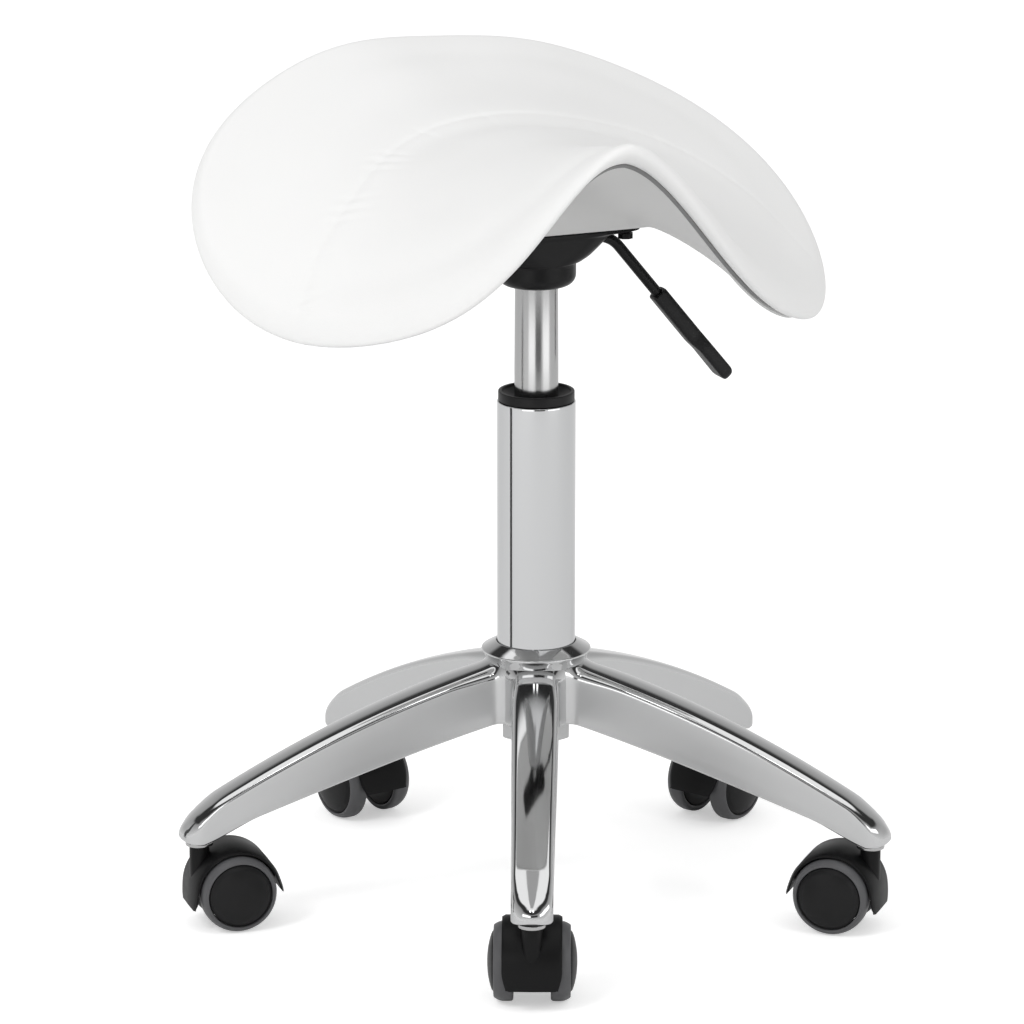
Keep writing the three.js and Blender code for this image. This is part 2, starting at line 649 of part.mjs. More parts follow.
function releasePin() {
  const top = LEVER_HEIGHT - LEVER_RADIUS - FIT_GAP;
  const nose = PIN_RADIUS / 3;
  return turned([
    [0, top - PIN_LENGTH],
    [PIN_RADIUS, top - PIN_LENGTH],
    [PIN_RADIUS, top - nose],
    [PIN_RADIUS - nose, top],
    [0, top],
  ], SIDES.axle);
}

// Seat mount. Across the seat is +X, its front points along -Y.

// Stands a geometry that was built about height zero on the plane where the plate meets the pan.
function onPad(geometry) {
  return geometry.translate(0, 0, PAN_PAD_HEIGHT);
}

function screwPlaces() {
  const places = [];
  for (const x of [SCREW_SPACING / 2, -SCREW_SPACING / 2]) {
    for (const y of [SCREW_PITCH / 2, -SCREW_PITCH / 2]) places.push([x, y]);
  }
  return places;
}

const PLATE_TOP = PAN_PAD_HEIGHT - FIT_GAP;

// The bell's points from the cup to the plate, as shares of the way outwards and upwards.
const BELL_SHARES = [[0.08, 0], [0.23, 0.22], [0.356, 0.5], [0.46, 0.76], [0.56, 1]];
const CUP_CHAMFER_SHARE = 0.3;

// A level loop between the round cup and the plate's rounded rectangle, drawn in by a distance.
function mountLoop(share, height, inset) {
  const loop = [];
  for (let i = 0; i < SIDES.column; i += 1) {
    const turn = (i / SIDES.column) * 2 * Math.PI;
    const [cos, sin] = [Math.cos(turn), Math.sin(turn)];
    const squared = (value) => Math.sign(value) * Math.abs(value) ** (2 / PLATE_SQUARENESS);
    const x = THREE.MathUtils.lerp(CUP_RADIUS * cos, (PLATE_LENGTH / 2) * squared(cos), share);
    const y = THREE.MathUtils.lerp(CUP_RADIUS * sin, (PLATE_DEPTH / 2) * squared(sin), share);
    const scale = 1 - inset / Math.hypot(x, y);
    loop.push(new THREE.Vector3(x * scale, y * scale, height));
  }
  return loop;
}

// The outside of the mount, from the cup's bottom to the plate.
function mountBody() {
  const cupTop = MOUNT_BOTTOM + CUP_HEIGHT;
  const chamfer = CUP_CORNER * CUP_CHAMFER_SHARE;
  const rise = PLATE_TOP - PLATE_THICKNESS - cupTop;
  return solidFrom(loft([
    mountLoop(0, MOUNT_BOTTOM, CUP_CORNER),
    mountLoop(0, MOUNT_BOTTOM + chamfer, chamfer),
    mountLoop(0, MOUNT_BOTTOM + CUP_CORNER, 0),
    mountLoop(0, cupTop, 0),
    ...BELL_SHARES.map(([out, up]) => mountLoop(out, cupTop + rise * up, 0)),
    mountLoop(1, PLATE_TOP - PLATE_EDGE_THICKNESS, 0),
    mountLoop(1, PLATE_TOP, 0),
  ]));
}

// The room inside the bell, open to the pan.
function mountRoom() {
  const floor = MOUNT_BOTTOM + CUP_HEIGHT + BELL_WALL;
  const rise = PLATE_TOP - PLATE_THICKNESS + BELL_WALL - floor;
  const inset = BELL_WALL / 2;
  const lastShare = BELL_SHARES[BELL_SHARES.length - 1][0];
  return solidFrom(loft([
    mountLoop(0, CYLINDER_TOP, BELL_WALL),
    ...BELL_SHARES.slice(1).map(([out, up]) => mountLoop(out, floor + rise * up, inset)),
    mountLoop(lastShare, PLATE_TOP + CUT_OVERRUN, inset),
  ]));
}

// The tapered bore for the cylinder.
function mountBore() {
  const [below, above] = [MOUNT_BOTTOM - CUT_OVERRUN, CYLINDER_TOP + CUT_OVERRUN];
  return solidFrom(turned([
    [0, below],
    [cylinderRadiusAt(below) + FIT_GAP, below],
    [cylinderRadiusAt(CYLINDER_TOP) + FIT_GAP, CYLINDER_TOP],
    [cylinderRadiusAt(CYLINDER_TOP) + FIT_GAP, above],
    [0, above],
  ], SIDES.tube));
}

// Two ears beside the slot carry the lever's pivot.
function mountEars() {
  const across = SLOT_WIDTH / 2 + EAR_THICKNESS / 2;
  const ears = [-across, across].map((y) => solidFrom(
    block(EAR_LENGTH, EAR_THICKNESS, EAR_RISE + EAR_DROP)
      .translate(LEVER_PIVOT_REACH, y, PIVOT_HEIGHT + (EAR_RISE - EAR_DROP) / 2),
  ));
  return join(...ears);
}

function leverSlot() {
  const start = CUP_RADIUS - BELL_WALL;
  const end = PLATE_LENGTH / 2;
  const top = PLATE_TOP - PLATE_THICKNESS;
  const slot = block(end - start, SLOT_WIDTH, SLOT_HEIGHT);
  return solidFrom(slot.translate((start + end) / 2, 0, top - SLOT_HEIGHT / 2));
}

function pivotHole() {
  const length = SLOT_WIDTH + 2 * EAR_THICKNESS + 2 * CUT_OVERRUN;
  const hole = cylinder(PIVOT_RADIUS + FIT_GAP, -length / 2, length / 2, SIDES.axle);
  return solidFrom(hole.rotateX(Math.PI / 2).translate(LEVER_PIVOT_REACH, 0, PIVOT_HEIGHT));
}

function seatMount() {
  const holes = screwPlaces().map(([x, y]) => {
    const depth = PLATE_THICKNESS + CUT_OVERRUN;
    const hole = cylinder(SCREW_RADIUS + FIT_GAP, -depth, CUT_OVERRUN, SIDES.axle);
    return solidFrom(onPad(hole.translate(x, y, 0)));
  });
  const shell = cut(mountBody(), mountRoom(), mountBore(), leverSlot());
  return cut(join(shell, mountEars()), pivotHole(), ...holes);
}

// A cap screw through the plate into the pan, its head underneath.
function mountScrew([x, y]) {
  const seat = -FIT_GAP - PLATE_THICKNESS - FIT_GAP;
  const head = seat - SCREW_HEAD_HEIGHT;
  const screw = turned([
    [0, head + SCREW_SOCKET_DEPTH],
    [SCREW_SOCKET_RADIUS, head + SCREW_SOCKET_DEPTH],
    [SCREW_SOCKET_RADIUS, head],
    [SCREW_HEAD_RADIUS, head],
    [SCREW_HEAD_RADIUS, seat],
    [SCREW_RADIUS, seat],
    [SCREW_RADIUS, SCREW_BITE],
    [0, SCREW_BITE],
  ], SIDES.axle);
  return onPad(screw.translate(x, y, 0));
}

// Lever

const GRIP_ROOT = LEVER_STEM - GRIP_OVERLAP;

// Where the lever's inner run ends and the direction of the straight stretch below its bend.
function leverKnee() {
  return new THREE.Vector3(LEVER_RUN, 0, LEVER_HEIGHT - LEVER_SAG);
}

function leverDirection() {
  return new THREE.Vector3(Math.cos(LEVER_ANGLE), 0, -Math.sin(LEVER_ANGLE));
}

function leverRod() {
  const knee = leverKnee();
  const inward = new THREE.Vector3(-LEVER_RUN, 0, LEVER_SAG).normalize();
  const bend = knee.clone().addScaledVector(new THREE.Vector3().sub(inward), LEVER_BEND);
  const below = bend.clone().addScaledVector(leverDirection(), LEVER_BEND);
  const path = new THREE.CurvePath();
  const inner = new THREE.Vector3(0, 0, LEVER_HEIGHT).addScaledVector(inward, LEVER_INNER_END);
  path.add(new THREE.LineCurve3(inner, knee));
  path.add(new THREE.QuadraticBezierCurve3(knee, bend, below));
  path.add(new THREE.LineCurve3(below, below.clone().addScaledVector(leverDirection(), LEVER_STEM)));
  const section = new THREE.Shape();
  section.absarc(0, 0, LEVER_RADIUS, 0, 2 * Math.PI);
  const rod = new THREE.ExtrudeGeometry(section, {
    steps: LEVER_STEPS, curveSegments: SIDES.rod, bevelEnabled: false, extrudePath: path,
  });
  return cut(solidFrom(rod), pivotHole());
}

// One loop of the grip at a distance down the rod, with its corners taken off.
function gripLoop(along, width, thickness, lift, corner) {
  const half = width / 2;
  const low = -thickness / 2 + lift;
  const high = thickness / 2 + lift;
  const outline = [
    [-half + corner, low], [half - corner, low], [half, low + corner], [half, high - corner],
    [half - corner, high], [-half + corner, high], [-half, high - corner], [-half, low + corner],
  ];
  return outline.map(([y, z]) => new THREE.Vector3(along, y, z));
}

const GRIP_BARREL_SHARE = 0.5;
const GRIP_NECK_SHARE = 0.66;

function leverGrip() {
  const chamfer = GRIP_CORNER / 2;
  const barrel = GRIP_LENGTH * GRIP_BARREL_SHARE;
  const neck = GRIP_LENGTH * GRIP_NECK_SHARE;
  const paddleLift = (GRIP_STEP - (GRIP_THICKNESS - GRIP_PADDLE_THICKNESS)) / 2;
  const loops = [
    gripLoop(0, GRIP_WIDTH - GRIP_CORNER, GRIP_THICKNESS - GRIP_CORNER, 0, chamfer),
    gripLoop(chamfer, GRIP_WIDTH, GRIP_THICKNESS, 0, GRIP_CORNER),
    gripLoop(barrel, GRIP_WIDTH, GRIP_THICKNESS, 0, GRIP_CORNER),
    gripLoop(neck, GRIP_PADDLE_WIDTH, GRIP_PADDLE_THICKNESS, paddleLift, GRIP_CORNER),
    gripLoop(GRIP_LENGTH - GRIP_CORNER, GRIP_PADDLE_WIDTH, GRIP_PADDLE_THICKNESS, 0, GRIP_CORNER),
    gripLoop(GRIP_LENGTH, GRIP_PADDLE_WIDTH - GRIP_CORNER, GRIP_PADDLE_THICKNESS / 2, 0, chamfer),
  ];
  const socket = cylinder(LEVER_RADIUS + FIT_GAP, -CUT_OVERRUN, GRIP_OVERLAP + FIT_GAP, SIDES.tube / 2)
    .rotateY(Math.PI / 2);
  const grip = cut(solidFrom(loft(loops)), solidFrom(socket));
  const knee = leverKnee();
  const inward = new THREE.Vector3(-LEVER_RUN, 0, LEVER_SAG).normalize();
  const root = knee.addScaledVector(inward, -LEVER_BEND)
    .addScaledVector(leverDirection(), LEVER_BEND + GRIP_ROOT);
  return geometryFrom(grip).rotateY(LEVER_ANGLE).translate(root.x, root.y, root.z);
}

function leverPivot() {
  const half = SLOT_WIDTH / 2 + EAR_THICKNESS + FIT_GAP;
  const pin = turned([
    [0, -half - PIVOT_HEAD_HEIGHT],
    [PIVOT_HEAD_RADIUS, -half - PIVOT_HEAD_HEIGHT],
    [PIVOT_HEAD_RADIUS, -half],
    [PIVOT_RADIUS, -half],
    [PIVOT_RADIUS, half + PIVOT_HEAD_HEIGHT],
    [0, half + PIVOT_HEAD_HEIGHT],
  ], SIDES.axle);
  return pin.rotateX(Math.PI / 2).translate(LEVER_PIVOT_REACH, 0, PIVOT_HEIGHT);
}

// Saddle seat. A point is given by its place towards the front and to the side.

function outlineWave(turn) {
  return OUTLINE_WAVE_SHARES.reduce((sum, share, i) => sum + share * Math.cos((i + 1) * turn), 1);
}

const LENGTH_PER_REACH = outlineWave(0) + outlineWave(Math.PI);
const WIDTH_PER_REACH = (() => {
  let widest = 0;
  for (let i = 0; i < SEAT_SEGMENTS; i += 1) {
    const turn = (i / SEAT_SEGMENTS) * Math.PI;
    widest = Math.max(widest, 2 * outlineWave(turn) * Math.sin(turn));
  }
  return widest;
})();

const FRONT_SCALE = SEAT_LENGTH / LENGTH_PER_REACH;
const SIDE_SCALE = SEAT_WIDTH / WIDTH_PER_REACH;

// The saddle's edge, drawn in by a distance, at a turn from the front.
function outlinePoint(turn, inset) {
  const reach = outlineWave(turn);
  const front = FRONT_SCALE * reach * Math.cos(turn);
  const side = SIDE_SCALE * reach * Math.sin(turn);
  const length = Math.hypot(front, side);
  const scale = (length - inset) / length;
  return { front: front * scale - SEAT_SETBACK, side: side * scale, length: length - inset };
}

// A point on the way from the seat's middle to a point on its edge.
function towards(edge, share) {
  return { front: (edge.front + SEAT_SETBACK) * share - SEAT_SETBACK, side: edge.side * share };
}

// The height of the saddle's top: a dipped crest with flanks that fall away beside a round ridge.
function saddleTop({ front, side }) {
  const frontReach = outlinePoint(0, 0).front;
  const rearReach = -outlinePoint(Math.PI, 0).front;
  const rise = front > 0
    ? SADDLE_FRONT_RISE * (front / frontReach) ** 2
    : SADDLE_REAR_RISE * (front / rearReach) ** 2;
  const along = front / (SEAT_LENGTH / 2);
  const { rear, middle, front: steep } = FLANK_SLOPE_SHARES;
  const slope = middle + ((steep - rear) / 2) * along + ((steep + rear) / 2 - middle) * along ** 2;
  const ridge = THREE.MathUtils.lerp(RIDGE_RADIUS_REAR, RIDGE_RADIUS_FRONT, (along + 1) / 2);
  const flank = slope * (Math.hypot(side, ridge) - ridge);
  return SADDLE_DIP + rise - flank - LEAN_SHARE * side - shoulderDrop({ front, side });
}

// How far the top sinks beside the nose, most of it close to the edge.
function shoulderDrop({ front, side }) {
  const [ahead, across] = [(front + SEAT_SETBACK) / FRONT_SCALE, side / SIDE_SCALE];
  const turn = Math.abs(Math.atan2(across, ahead));
  const share = Math.hypot(ahead, across) / outlineWave(turn);
  const nearness = Math.exp(-(((turn - SHOULDER_ANGLE) / SHOULDER_SPREAD_ANGLE) ** 2));
  return SHOULDER_DROP * nearness * share ** 4;
}

function edgeThickness(turn) {
  return CUSHION_EDGE_END + (CUSHION_EDGE_SIDE - CUSHION_EDGE_END) * Math.sin(turn) ** 2;
}

// How far the pan's rim hangs below the cushion's edge.
function panLip(turn) {
  return PAN_LIP * Math.abs(Math.sin(turn));
}

// How far the pan's flat pad reaches along the ray to a point on its rim.
function padReach(edge) {
  const ahead = Math.abs(edge.front + SEAT_SETBACK) / edge.length / (PAN_PAD_DEPTH / 2);
  const across = Math.abs(edge.side) / edge.length / (PAN_PAD_LENGTH / 2);
  return (ahead ** PAN_PAD_SQUARENESS + across ** PAN_PAD_SQUARENESS) ** (-1 / PAN_PAD_SQUARENESS);
}

// How far out a place is on its ray from the edge of the pan's pad to its rim.
function panOutShare(edge, place) {
  const start = padReach(edge);
  return THREE.MathUtils.clamp((reachFromMiddle(place) - start) / (edge.length - start), 0, 1);
}

// The underside of the pan: flat on its pad, then under the saddle's top, soon as thin as at the rim.
function panBottom(turn, edge, place) {
  const out = panOutShare(edge, place);
  if (out === 0) return PAN_PAD_HEIGHT;
  const padDepth = saddleTop(towards(edge, padReach(edge) / edge.length)) - PAN_PAD_HEIGHT;
  const rimDepth = edgeThickness(turn) + panLip(turn);
  return saddleTop(place) - THREE.MathUtils.lerp(padDepth, rimDepth, out ** PAN_THINNING);
}

function panTop(turn, edge, place) {
  const rimThickness = PAN_EDGE_THICKNESS + panLip(turn);
  const thickness = THREE.MathUtils.lerp(PAN_THICKNESS, rimThickness, panOutShare(edge, place));
  return panBottom(turn, edge, place) + thickness;
}

function reachFromMiddle({ front, side }) {
  return Math.hypot(front + SEAT_SETBACK, side);
}

// A closed body from rings round the seat's middle, listed from the top centre to the bottom centre.
// Both its skins split their faces the same way, so that nested bodies keep their gap.
function saddleBody(rings, topHeight, bottomHeight) {
  const turns = Array.from({ length: SEAT_SEGMENTS }, (_, j) => (j / SEAT_SEGMENTS) * 2 * Math.PI);
  const rows = rings.map((ringAt) => turns.map(ringAt));
  const points = rows.flat().map(({ front, side, height }) => new THREE.Vector3(side, -front, height));
  const [top, bottom] = [points.length, points.length + 1];
  points.push(new THREE.Vector3(0, SEAT_SETBACK, topHeight));
  points.push(new THREE.Vector3(0, SEAT_SETBACK, bottomHeight));
  const index = [];
  for (let j = 0; j < SEAT_SEGMENTS; j += 1) {
    const next = (j + 1) % SEAT_SEGMENTS;
    const last = (rows.length - 1) * SEAT_SEGMENTS;
    index.push(top, j, next, bottom, last + next, last + j);
    for (let i = 1; i < rows.length; i += 1) {
      const [before, after] = [(i - 1) * SEAT_SEGMENTS, i * SEAT_SEGMENTS];
      const corners = [before + j, after + j, after + next, before + next];
      const outward = reachFromMiddle(rows[i][0]) - reachFromMiddle(rows[i - 1][0]);
      const isUpright = Math.abs(outward) < FIT_GAP / 2;
      if (isUpright ? rows[i][0].height < rows[i - 1][0].height : outward > 0) {
        index.push(corners[0], corners[1], corners[2], corners[0], corners[2], corners[3]);
      } else {
        index.push(corners[0], corners[1], corners[3], corners[1], corners[2], corners[3]);
      }
    }
  }
  const geometry = new THREE.BufferGeometry();
  const values = points.flatMap((point) => point.toArray());
  geometry.setAttribute("position", new THREE.Float32BufferAttribute(values, 3));
  geometry.setIndex(index);
  return geometry;
}

const CUSHION_TOP_SHARES = [0.2, 0.38, 0.55, 0.7, 0.83, 0.93];
const CUSHION_ROLL_TURN_SHARES = [1, 0.5, 0, -0.5, -1]; // of a quarter turn, from the top down
const PAN_THINNING = 0.25; // below 1 the seat thins out close to the pad
const PAN_RING_SHARES = [1, 0.7, 0.4, 0.15, 0]; // of the way from the pad to the rim

// The places of the pan's rings along one ray, from the rim inwards.
function panPlaces(turn) {
  const edge = outlinePoint(turn, PAN_INSET);
  const padShare = padReach(edge) / edge.length;
  const shares = PAN_RING_SHARES.map((share) => padShare + (1 - padShare) * share);
  return [...shares, padShare / 2].map((share) => towards(edge, share));
}

const PAN_RING_COUNT = PAN_RING_SHARES.length + 1;

function panRing(number, heightAt, lift) {
  return (turn) => {
    const edge = outlinePoint(turn, PAN_INSET);
    const place = panPlaces(turn)[number];
    return { ...place, height: heightAt(turn, edge, place) + lift };
  };
}

function seatCushion() {
  const rings = CUSHION_TOP_SHARES.map((share) => (turn) => {
    const place = towards(outlinePoint(turn, CUSHION_ROLL), share);
    return { ...place, height: saddleTop(place) };
  });
  for (const share of CUSHION_ROLL_TURN_SHARES) {
    const quarter = (share * Math.PI) / 2;
    rings.push((turn) => {
      const place = outlinePoint(turn, CUSHION_ROLL * (1 - Math.cos(quarter)));
      const drop = (edgeThickness(turn) / 2) * (1 - Math.sin(quarter));
      return { ...place, height: saddleTop(place) - drop };
    });
  }
  const lip = PAN_INSET - FIT_GAP;
  rings.push((turn) => {
    const place = outlinePoint(turn, lip);
    return { ...place, height: saddleTop(place) - edgeThickness(turn) };
  });
  rings.push((turn) => {
    const edge = outlinePoint(turn, PAN_INSET);
    return { ...outlinePoint(turn, lip), height: panTop(turn, edge, edge) + 2 * FIT_GAP };
  });
  for (let i = 1; i < PAN_RING_COUNT; i += 1) rings.push(panRing(i, panTop, FIT_GAP));
  const middle = { front: -SEAT_SETBACK, side: 0 };
  const pan = panTop(0, outlinePoint(0, PAN_INSET), middle) + FIT_GAP;
  return saddleBody(rings, saddleTop(middle), pan);
}

function seatPan() {
  const numbers = PAN_RING_SHARES.map((_, i) => i).concat(PAN_RING_COUNT - 1);
  const upper = [...numbers].reverse().map((number) => panRing(number, panTop, 0));
  const lower = numbers.map((number) => panRing(number, panBottom, 0));
  const edge = outlinePoint(0, PAN_INSET);
  const middle = { front: -SEAT_SETBACK, side: 0 };
  const shell = saddleBody([...upper, ...lower], panTop(0, edge, middle), panBottom(0, edge, middle));
  const holes = screwPlaces().map(([x, y]) => {
    const hole = cylinder(SCREW_RADIUS + FIT_GAP, -CUT_OVERRUN, SCREW_BITE + FIT_GAP, SIDES.axle);
    return solidFrom(onPad(hole.translate(x, y, 0)));
  });
  return cut(solidFrom(shell), ...holes);
}

// Casters. Each is built about its stem, with +X pointing away from the column.

function aboutAxle(geometry) {
  return geometry.rotateX(Math.PI / 2).translate(-CASTER_TRAIL, 0, WHEEL_CENTRE);
}

// A slice of ring between two turns about the axle, as wide as given. Its inside stops short at the ends.
function hoodSlice(inner, outer, from, to, width, segments) {
  const shape = new THREE.Shape();
  shape.absarc(0, 0, outer, from, to, false);
  if (inner > 0) {
    shape.absarc(0, 0, inner, to - HOOD_TIP_ANGLE, from + HOOD_TIP_ANGLE, true);
  } else {
    shape.lineTo(0, 0);
  }
  const slice = new THREE.ExtrudeGeometry(shape, {
    depth: width, steps: 1, curveSegments: segments, bevelEnabled: false,
  });
  return solidFrom(aboutAxle(slice.translate(0, 0, -width / 2)));
}

function casterHood() {
  const inside = HOOD_RADIUS - HOOD_WALL;
  const shell = hoodSlice(inside, HOOD_RADIUS, HOOD_OUTER_ANGLE, HOOD_INNER_ANGLE, HOOD_WIDTH, HOOD_FACETS);
  const web = hoodSlice(
    0, inside + HOOD_WALL / 2, HOOD_WEB_ANGLE, Math.PI - HOOD_WEB_ANGLE, HOOD_WEB, HOOD_FACETS);
  const bossWidth = 2 * (TREAD_INNER_FACE - FIT_GAP);
  const boss = solidFrom(aboutAxle(
    cylinder(HOOD_BOSS_RADIUS, -bossWidth / 2, bossWidth / 2, SIDES.stem)));
  const socketFloor = STEM_SOCKET_TOP - STEM_SOCKET_DEPTH;
  const socket = solidFrom(
    cylinder(STEM_SOCKET_RADIUS, socketFloor - HOOD_WALL, STEM_SOCKET_TOP, SIDES.stem));
  const bore = solidFrom(aboutAxle(
    cylinder(AXLE_RADIUS + FIT_GAP, -bossWidth, bossWidth, SIDES.axle)));
  const stemBore = solidFrom(cylinder(
    STEM_NECK_RADIUS + FIT_GAP, socketFloor, STEM_SOCKET_TOP + CUT_OVERRUN, SIDES.stem));
  return cut(join(shell, web, boss, socket), bore, stemBore);
}

function casterStem() {
  const seat = STEM_SOCKET_TOP + FIT_GAP;
  const flange = LEG_TIP_BOTTOM - FIT_GAP;
  const top = LEG_TIP_BOTTOM + STEM_HEIGHT;
  const quarter = STEM_HEIGHT / 4;
  return turned([
    [0, seat - STEM_SOCKET_DEPTH + FIT_GAP],
    [STEM_NECK_RADIUS, seat - STEM_SOCKET_DEPTH + FIT_GAP],
    [STEM_NECK_RADIUS, seat],
    [STEM_FLANGE_RADIUS, seat],
    [STEM_FLANGE_RADIUS, flange],
    [STEM_RADIUS, flange],
    [STEM_RADIUS, top - quarter],
    [STEM_RADIUS - STEM_RING_GROOVE, top],
    [0, top],
  ], SIDES.stem);
}

function casterAxle() {
  return aboutAxle(cylinder(AXLE_RADIUS, -AXLE_LENGTH / 2, AXLE_LENGTH / 2, SIDES.axle));
}

// A wheel's core with its bore and domed cap. Its outer side faces up the profile.
function wheelCore() {
  const rim = TREAD_RADIUS - TREAD_DEPTH - FIT_GAP;
  const inner = TREAD_INNER_FACE + FIT_GAP;
  const outer = TREAD_INNER_FACE + TREAD_WIDTH;
  const bore = AXLE_RADIUS + FIT_GAP;
  const boreEnd = AXLE_LENGTH / 2 + FIT_GAP;
  return turned([
    [0, boreEnd],
    [bore, boreEnd],
    [bore, inner],
    [rim, inner],
    [rim, outer],
    [rim * WHEEL_DOME_SHARE, outer + WHEEL_DOME * WHEEL_DOME_SHARE],
    [0, outer + WHEEL_DOME],
  ], SIDES.wheel);
}

function wheelTread() {
  const bead = TREAD_RADIUS - TREAD_DEPTH;
  const outer = TREAD_INNER_FACE + TREAD_WIDTH;
  return turnedRing([
    [bead, TREAD_INNER_FACE],
    [TREAD_RADIUS, TREAD_INNER_FACE],
    [TREAD_RADIUS, outer - 2 * TREAD_SHOULDER],
    [TREAD_RADIUS - TREAD_SHOULDER, outer],
    [bead, outer],
  ], SIDES.wheel);
}

// Turns a wheel piece so that one flat stands on the floor.
function onWheelSide(geometry, sides, side) {
  const placed = geometry.rotateZ(Math.PI / sides);
  return aboutAxle(side === "a" ? placed : placed.rotateX(Math.PI));
}

function addCaster(parent, number, turn) {
  const caster = new THREE.Group();
  caster.position.set(LEG_REACH * Math.cos(turn), LEG_REACH * Math.sin(turn), 0);
  caster.rotation.z = turn;
  addPiece(caster, `caster_stem_${number}`, casterStem(), "steel");
  addPiece(caster, `caster_hood_${number}`, casterHood(), "blackPlastic");
  addPiece(caster, `caster_axle_${number}`, casterAxle(), "steel");
  for (const side of ["a", "b"]) {
    const core = onWheelSide(wheelCore(), SIDES.wheel, side);
    const tread = onWheelSide(wheelTread(), SIDES.wheel, side);
    addPiece(caster, `caster_wheel_${number}${side}`, core, "blackPlastic");
    addPiece(caster, `caster_tread_${number}${side}`, tread, "greyTread");
  }
  parent.add(caster);
}

// Assembly

const stool = new THREE.Group();

const base = new THREE.Group();
base.position.y = COLUMN_OFFSET;
addPiece(base, "star_base", starBase(), "chrome");
addPiece(base, "column_tube", columnTube(), "chrome");
addPiece(base, "column_bush", columnBush(), "blackPlastic");
addPiece(base, "thrust_race_lower", thrustRace(LOWER_RACE_BOTTOM), "steel");
addPiece(base, "thrust_cage", thrustCage(), "steel");
for (let i = 0; i < LEG_COUNT; i += 1) {
  addCaster(base, i + 1, FRONT_LEG + i * LEG_STEP);
}
stool.add(base);

const rod = new THREE.Group();
rod.position.y = COLUMN_OFFSET;
addPiece(rod, "thrust_race_upper", thrustRace(UPPER_RACE_BOTTOM), "steel");
addPiece(rod, "bump_stop", bumpStop(), "rubber");
addPiece(rod, "piston_rod", pistonRod(), "steel");
addPiece(rod, "piston", piston(), "steel");
addPiece(rod, "rod_washer",
  ring(ROD_TAIL_RADIUS + FIT_GAP, WASHER_RADIUS, CLIP_TOP, WASHER_TOP, SIDES.tube / 2), "steel");
addPiece(rod, "rod_clip", rodClip(), "steel");
stool.add(rod);

const seat = new THREE.Group();
seat.position.y = COLUMN_OFFSET;
seat.rotation.z = SEAT_ANGLE;
addPiece(seat, "gas_cylinder", gasCylinder(), "brushed");
addPiece(seat, "rod_guide", rodGuide(), "blackPlastic");
addPiece(seat, "release_pin", releasePin(), "steel");
addPiece(seat, "seat_mount", seatMount(), "blackSteel");
screwPlaces().forEach((place, i) => {
  addPiece(seat, `mount_screw_${i + 1}`, mountScrew(place), "steel");
});
addPiece(seat, "lever_pivot", leverPivot(), "steel");
addPiece(seat, "lever_rod", leverRod(), "blackSteel");
addPiece(seat, "lever_grip", leverGrip(), "blackPlastic");
addPiece(seat, "seat_pan", seatPan(), "whiteShell");
addPiece(seat, "seat_cushion", seatCushion(), "whiteVinyl");
stool.add(seat);

export default stool;
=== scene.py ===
"""Looks of the saddle stool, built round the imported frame.

Lengths are in millimetres and places in the row frame unless they say otherwise.
"""
import math

import bmesh
import bpy
import numpy as np
from mathutils import Matrix, Vector


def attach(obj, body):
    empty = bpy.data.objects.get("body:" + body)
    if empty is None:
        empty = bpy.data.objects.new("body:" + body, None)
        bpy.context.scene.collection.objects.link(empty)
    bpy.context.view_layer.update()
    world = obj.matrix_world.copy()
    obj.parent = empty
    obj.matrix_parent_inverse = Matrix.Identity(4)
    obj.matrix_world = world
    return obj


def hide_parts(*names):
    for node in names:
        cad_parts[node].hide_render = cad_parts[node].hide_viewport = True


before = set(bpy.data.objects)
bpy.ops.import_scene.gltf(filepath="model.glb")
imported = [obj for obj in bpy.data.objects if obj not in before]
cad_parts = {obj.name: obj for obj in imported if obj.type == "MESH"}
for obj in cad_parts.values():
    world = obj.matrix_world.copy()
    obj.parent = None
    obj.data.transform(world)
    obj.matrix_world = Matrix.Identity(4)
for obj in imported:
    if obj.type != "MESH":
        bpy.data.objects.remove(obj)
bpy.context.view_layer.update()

MM = 0.001
WHITE = (1, 1, 1, 1)

# Places in the row frame
COLUMN_OFFSET = 18.9
SEAT_YAW = math.radians(23.6)
LEG_COUNT = 5
FRONT_LEG = -math.pi / 2
BASE_PLACE = Matrix.Translation((0, COLUMN_OFFSET, 0))
SEAT_PLACE = BASE_PLACE @ Matrix.Rotation(SEAT_YAW, 4, "Z")

# Camera
CAMERA_DISTANCE = 3500
CAMERA_TURN = math.radians(0.6)  # round the column
CAMERA_HEIGHT = 1200
CAMERA_PITCH = math.radians(15.11)
CAMERA_YAW = math.radians(0.2528)
CAMERA_LENS = 200
CAMERA_SENSOR = 36
CAMERA_CLIP = 100

# Light levels
WORLD_LEVEL = 0.77
# What the metal mirrors: sine of the height above the horizon, and level
WORLD_BAND_SHARES = ((0, 0.85), (0.3, 0.6), (0.52, 0.42), (0.6, 0.05), (0.75, 0.04), (0.8, 1.25))
FLOOR_WIDTH = 24000
FLOOR_COLOR = (0.84, 0.84, 0.84)
FLOOR_ROUGHNESS = 0.9
FLOOR_GLOW = 0.45
FLOOR_MIRRORED_GLOW = 0.09
# Cards round the stool at the height that the lift mirrors: angle, width in metres and level
LIFT_CARDS = (("lift_card_left", -24, 0.38, 2.2), ("lift_card_middle", 11, 0.34, 0.04),
              ("lift_card_right", 54, 0.42, 2.2))
LIFT_CARD_DISTANCE = 0.62
LIFT_CARD_HEIGHT = 0.24
LIFT_CARD_DEPTH = 0.115

FIT_GAP = 0.3

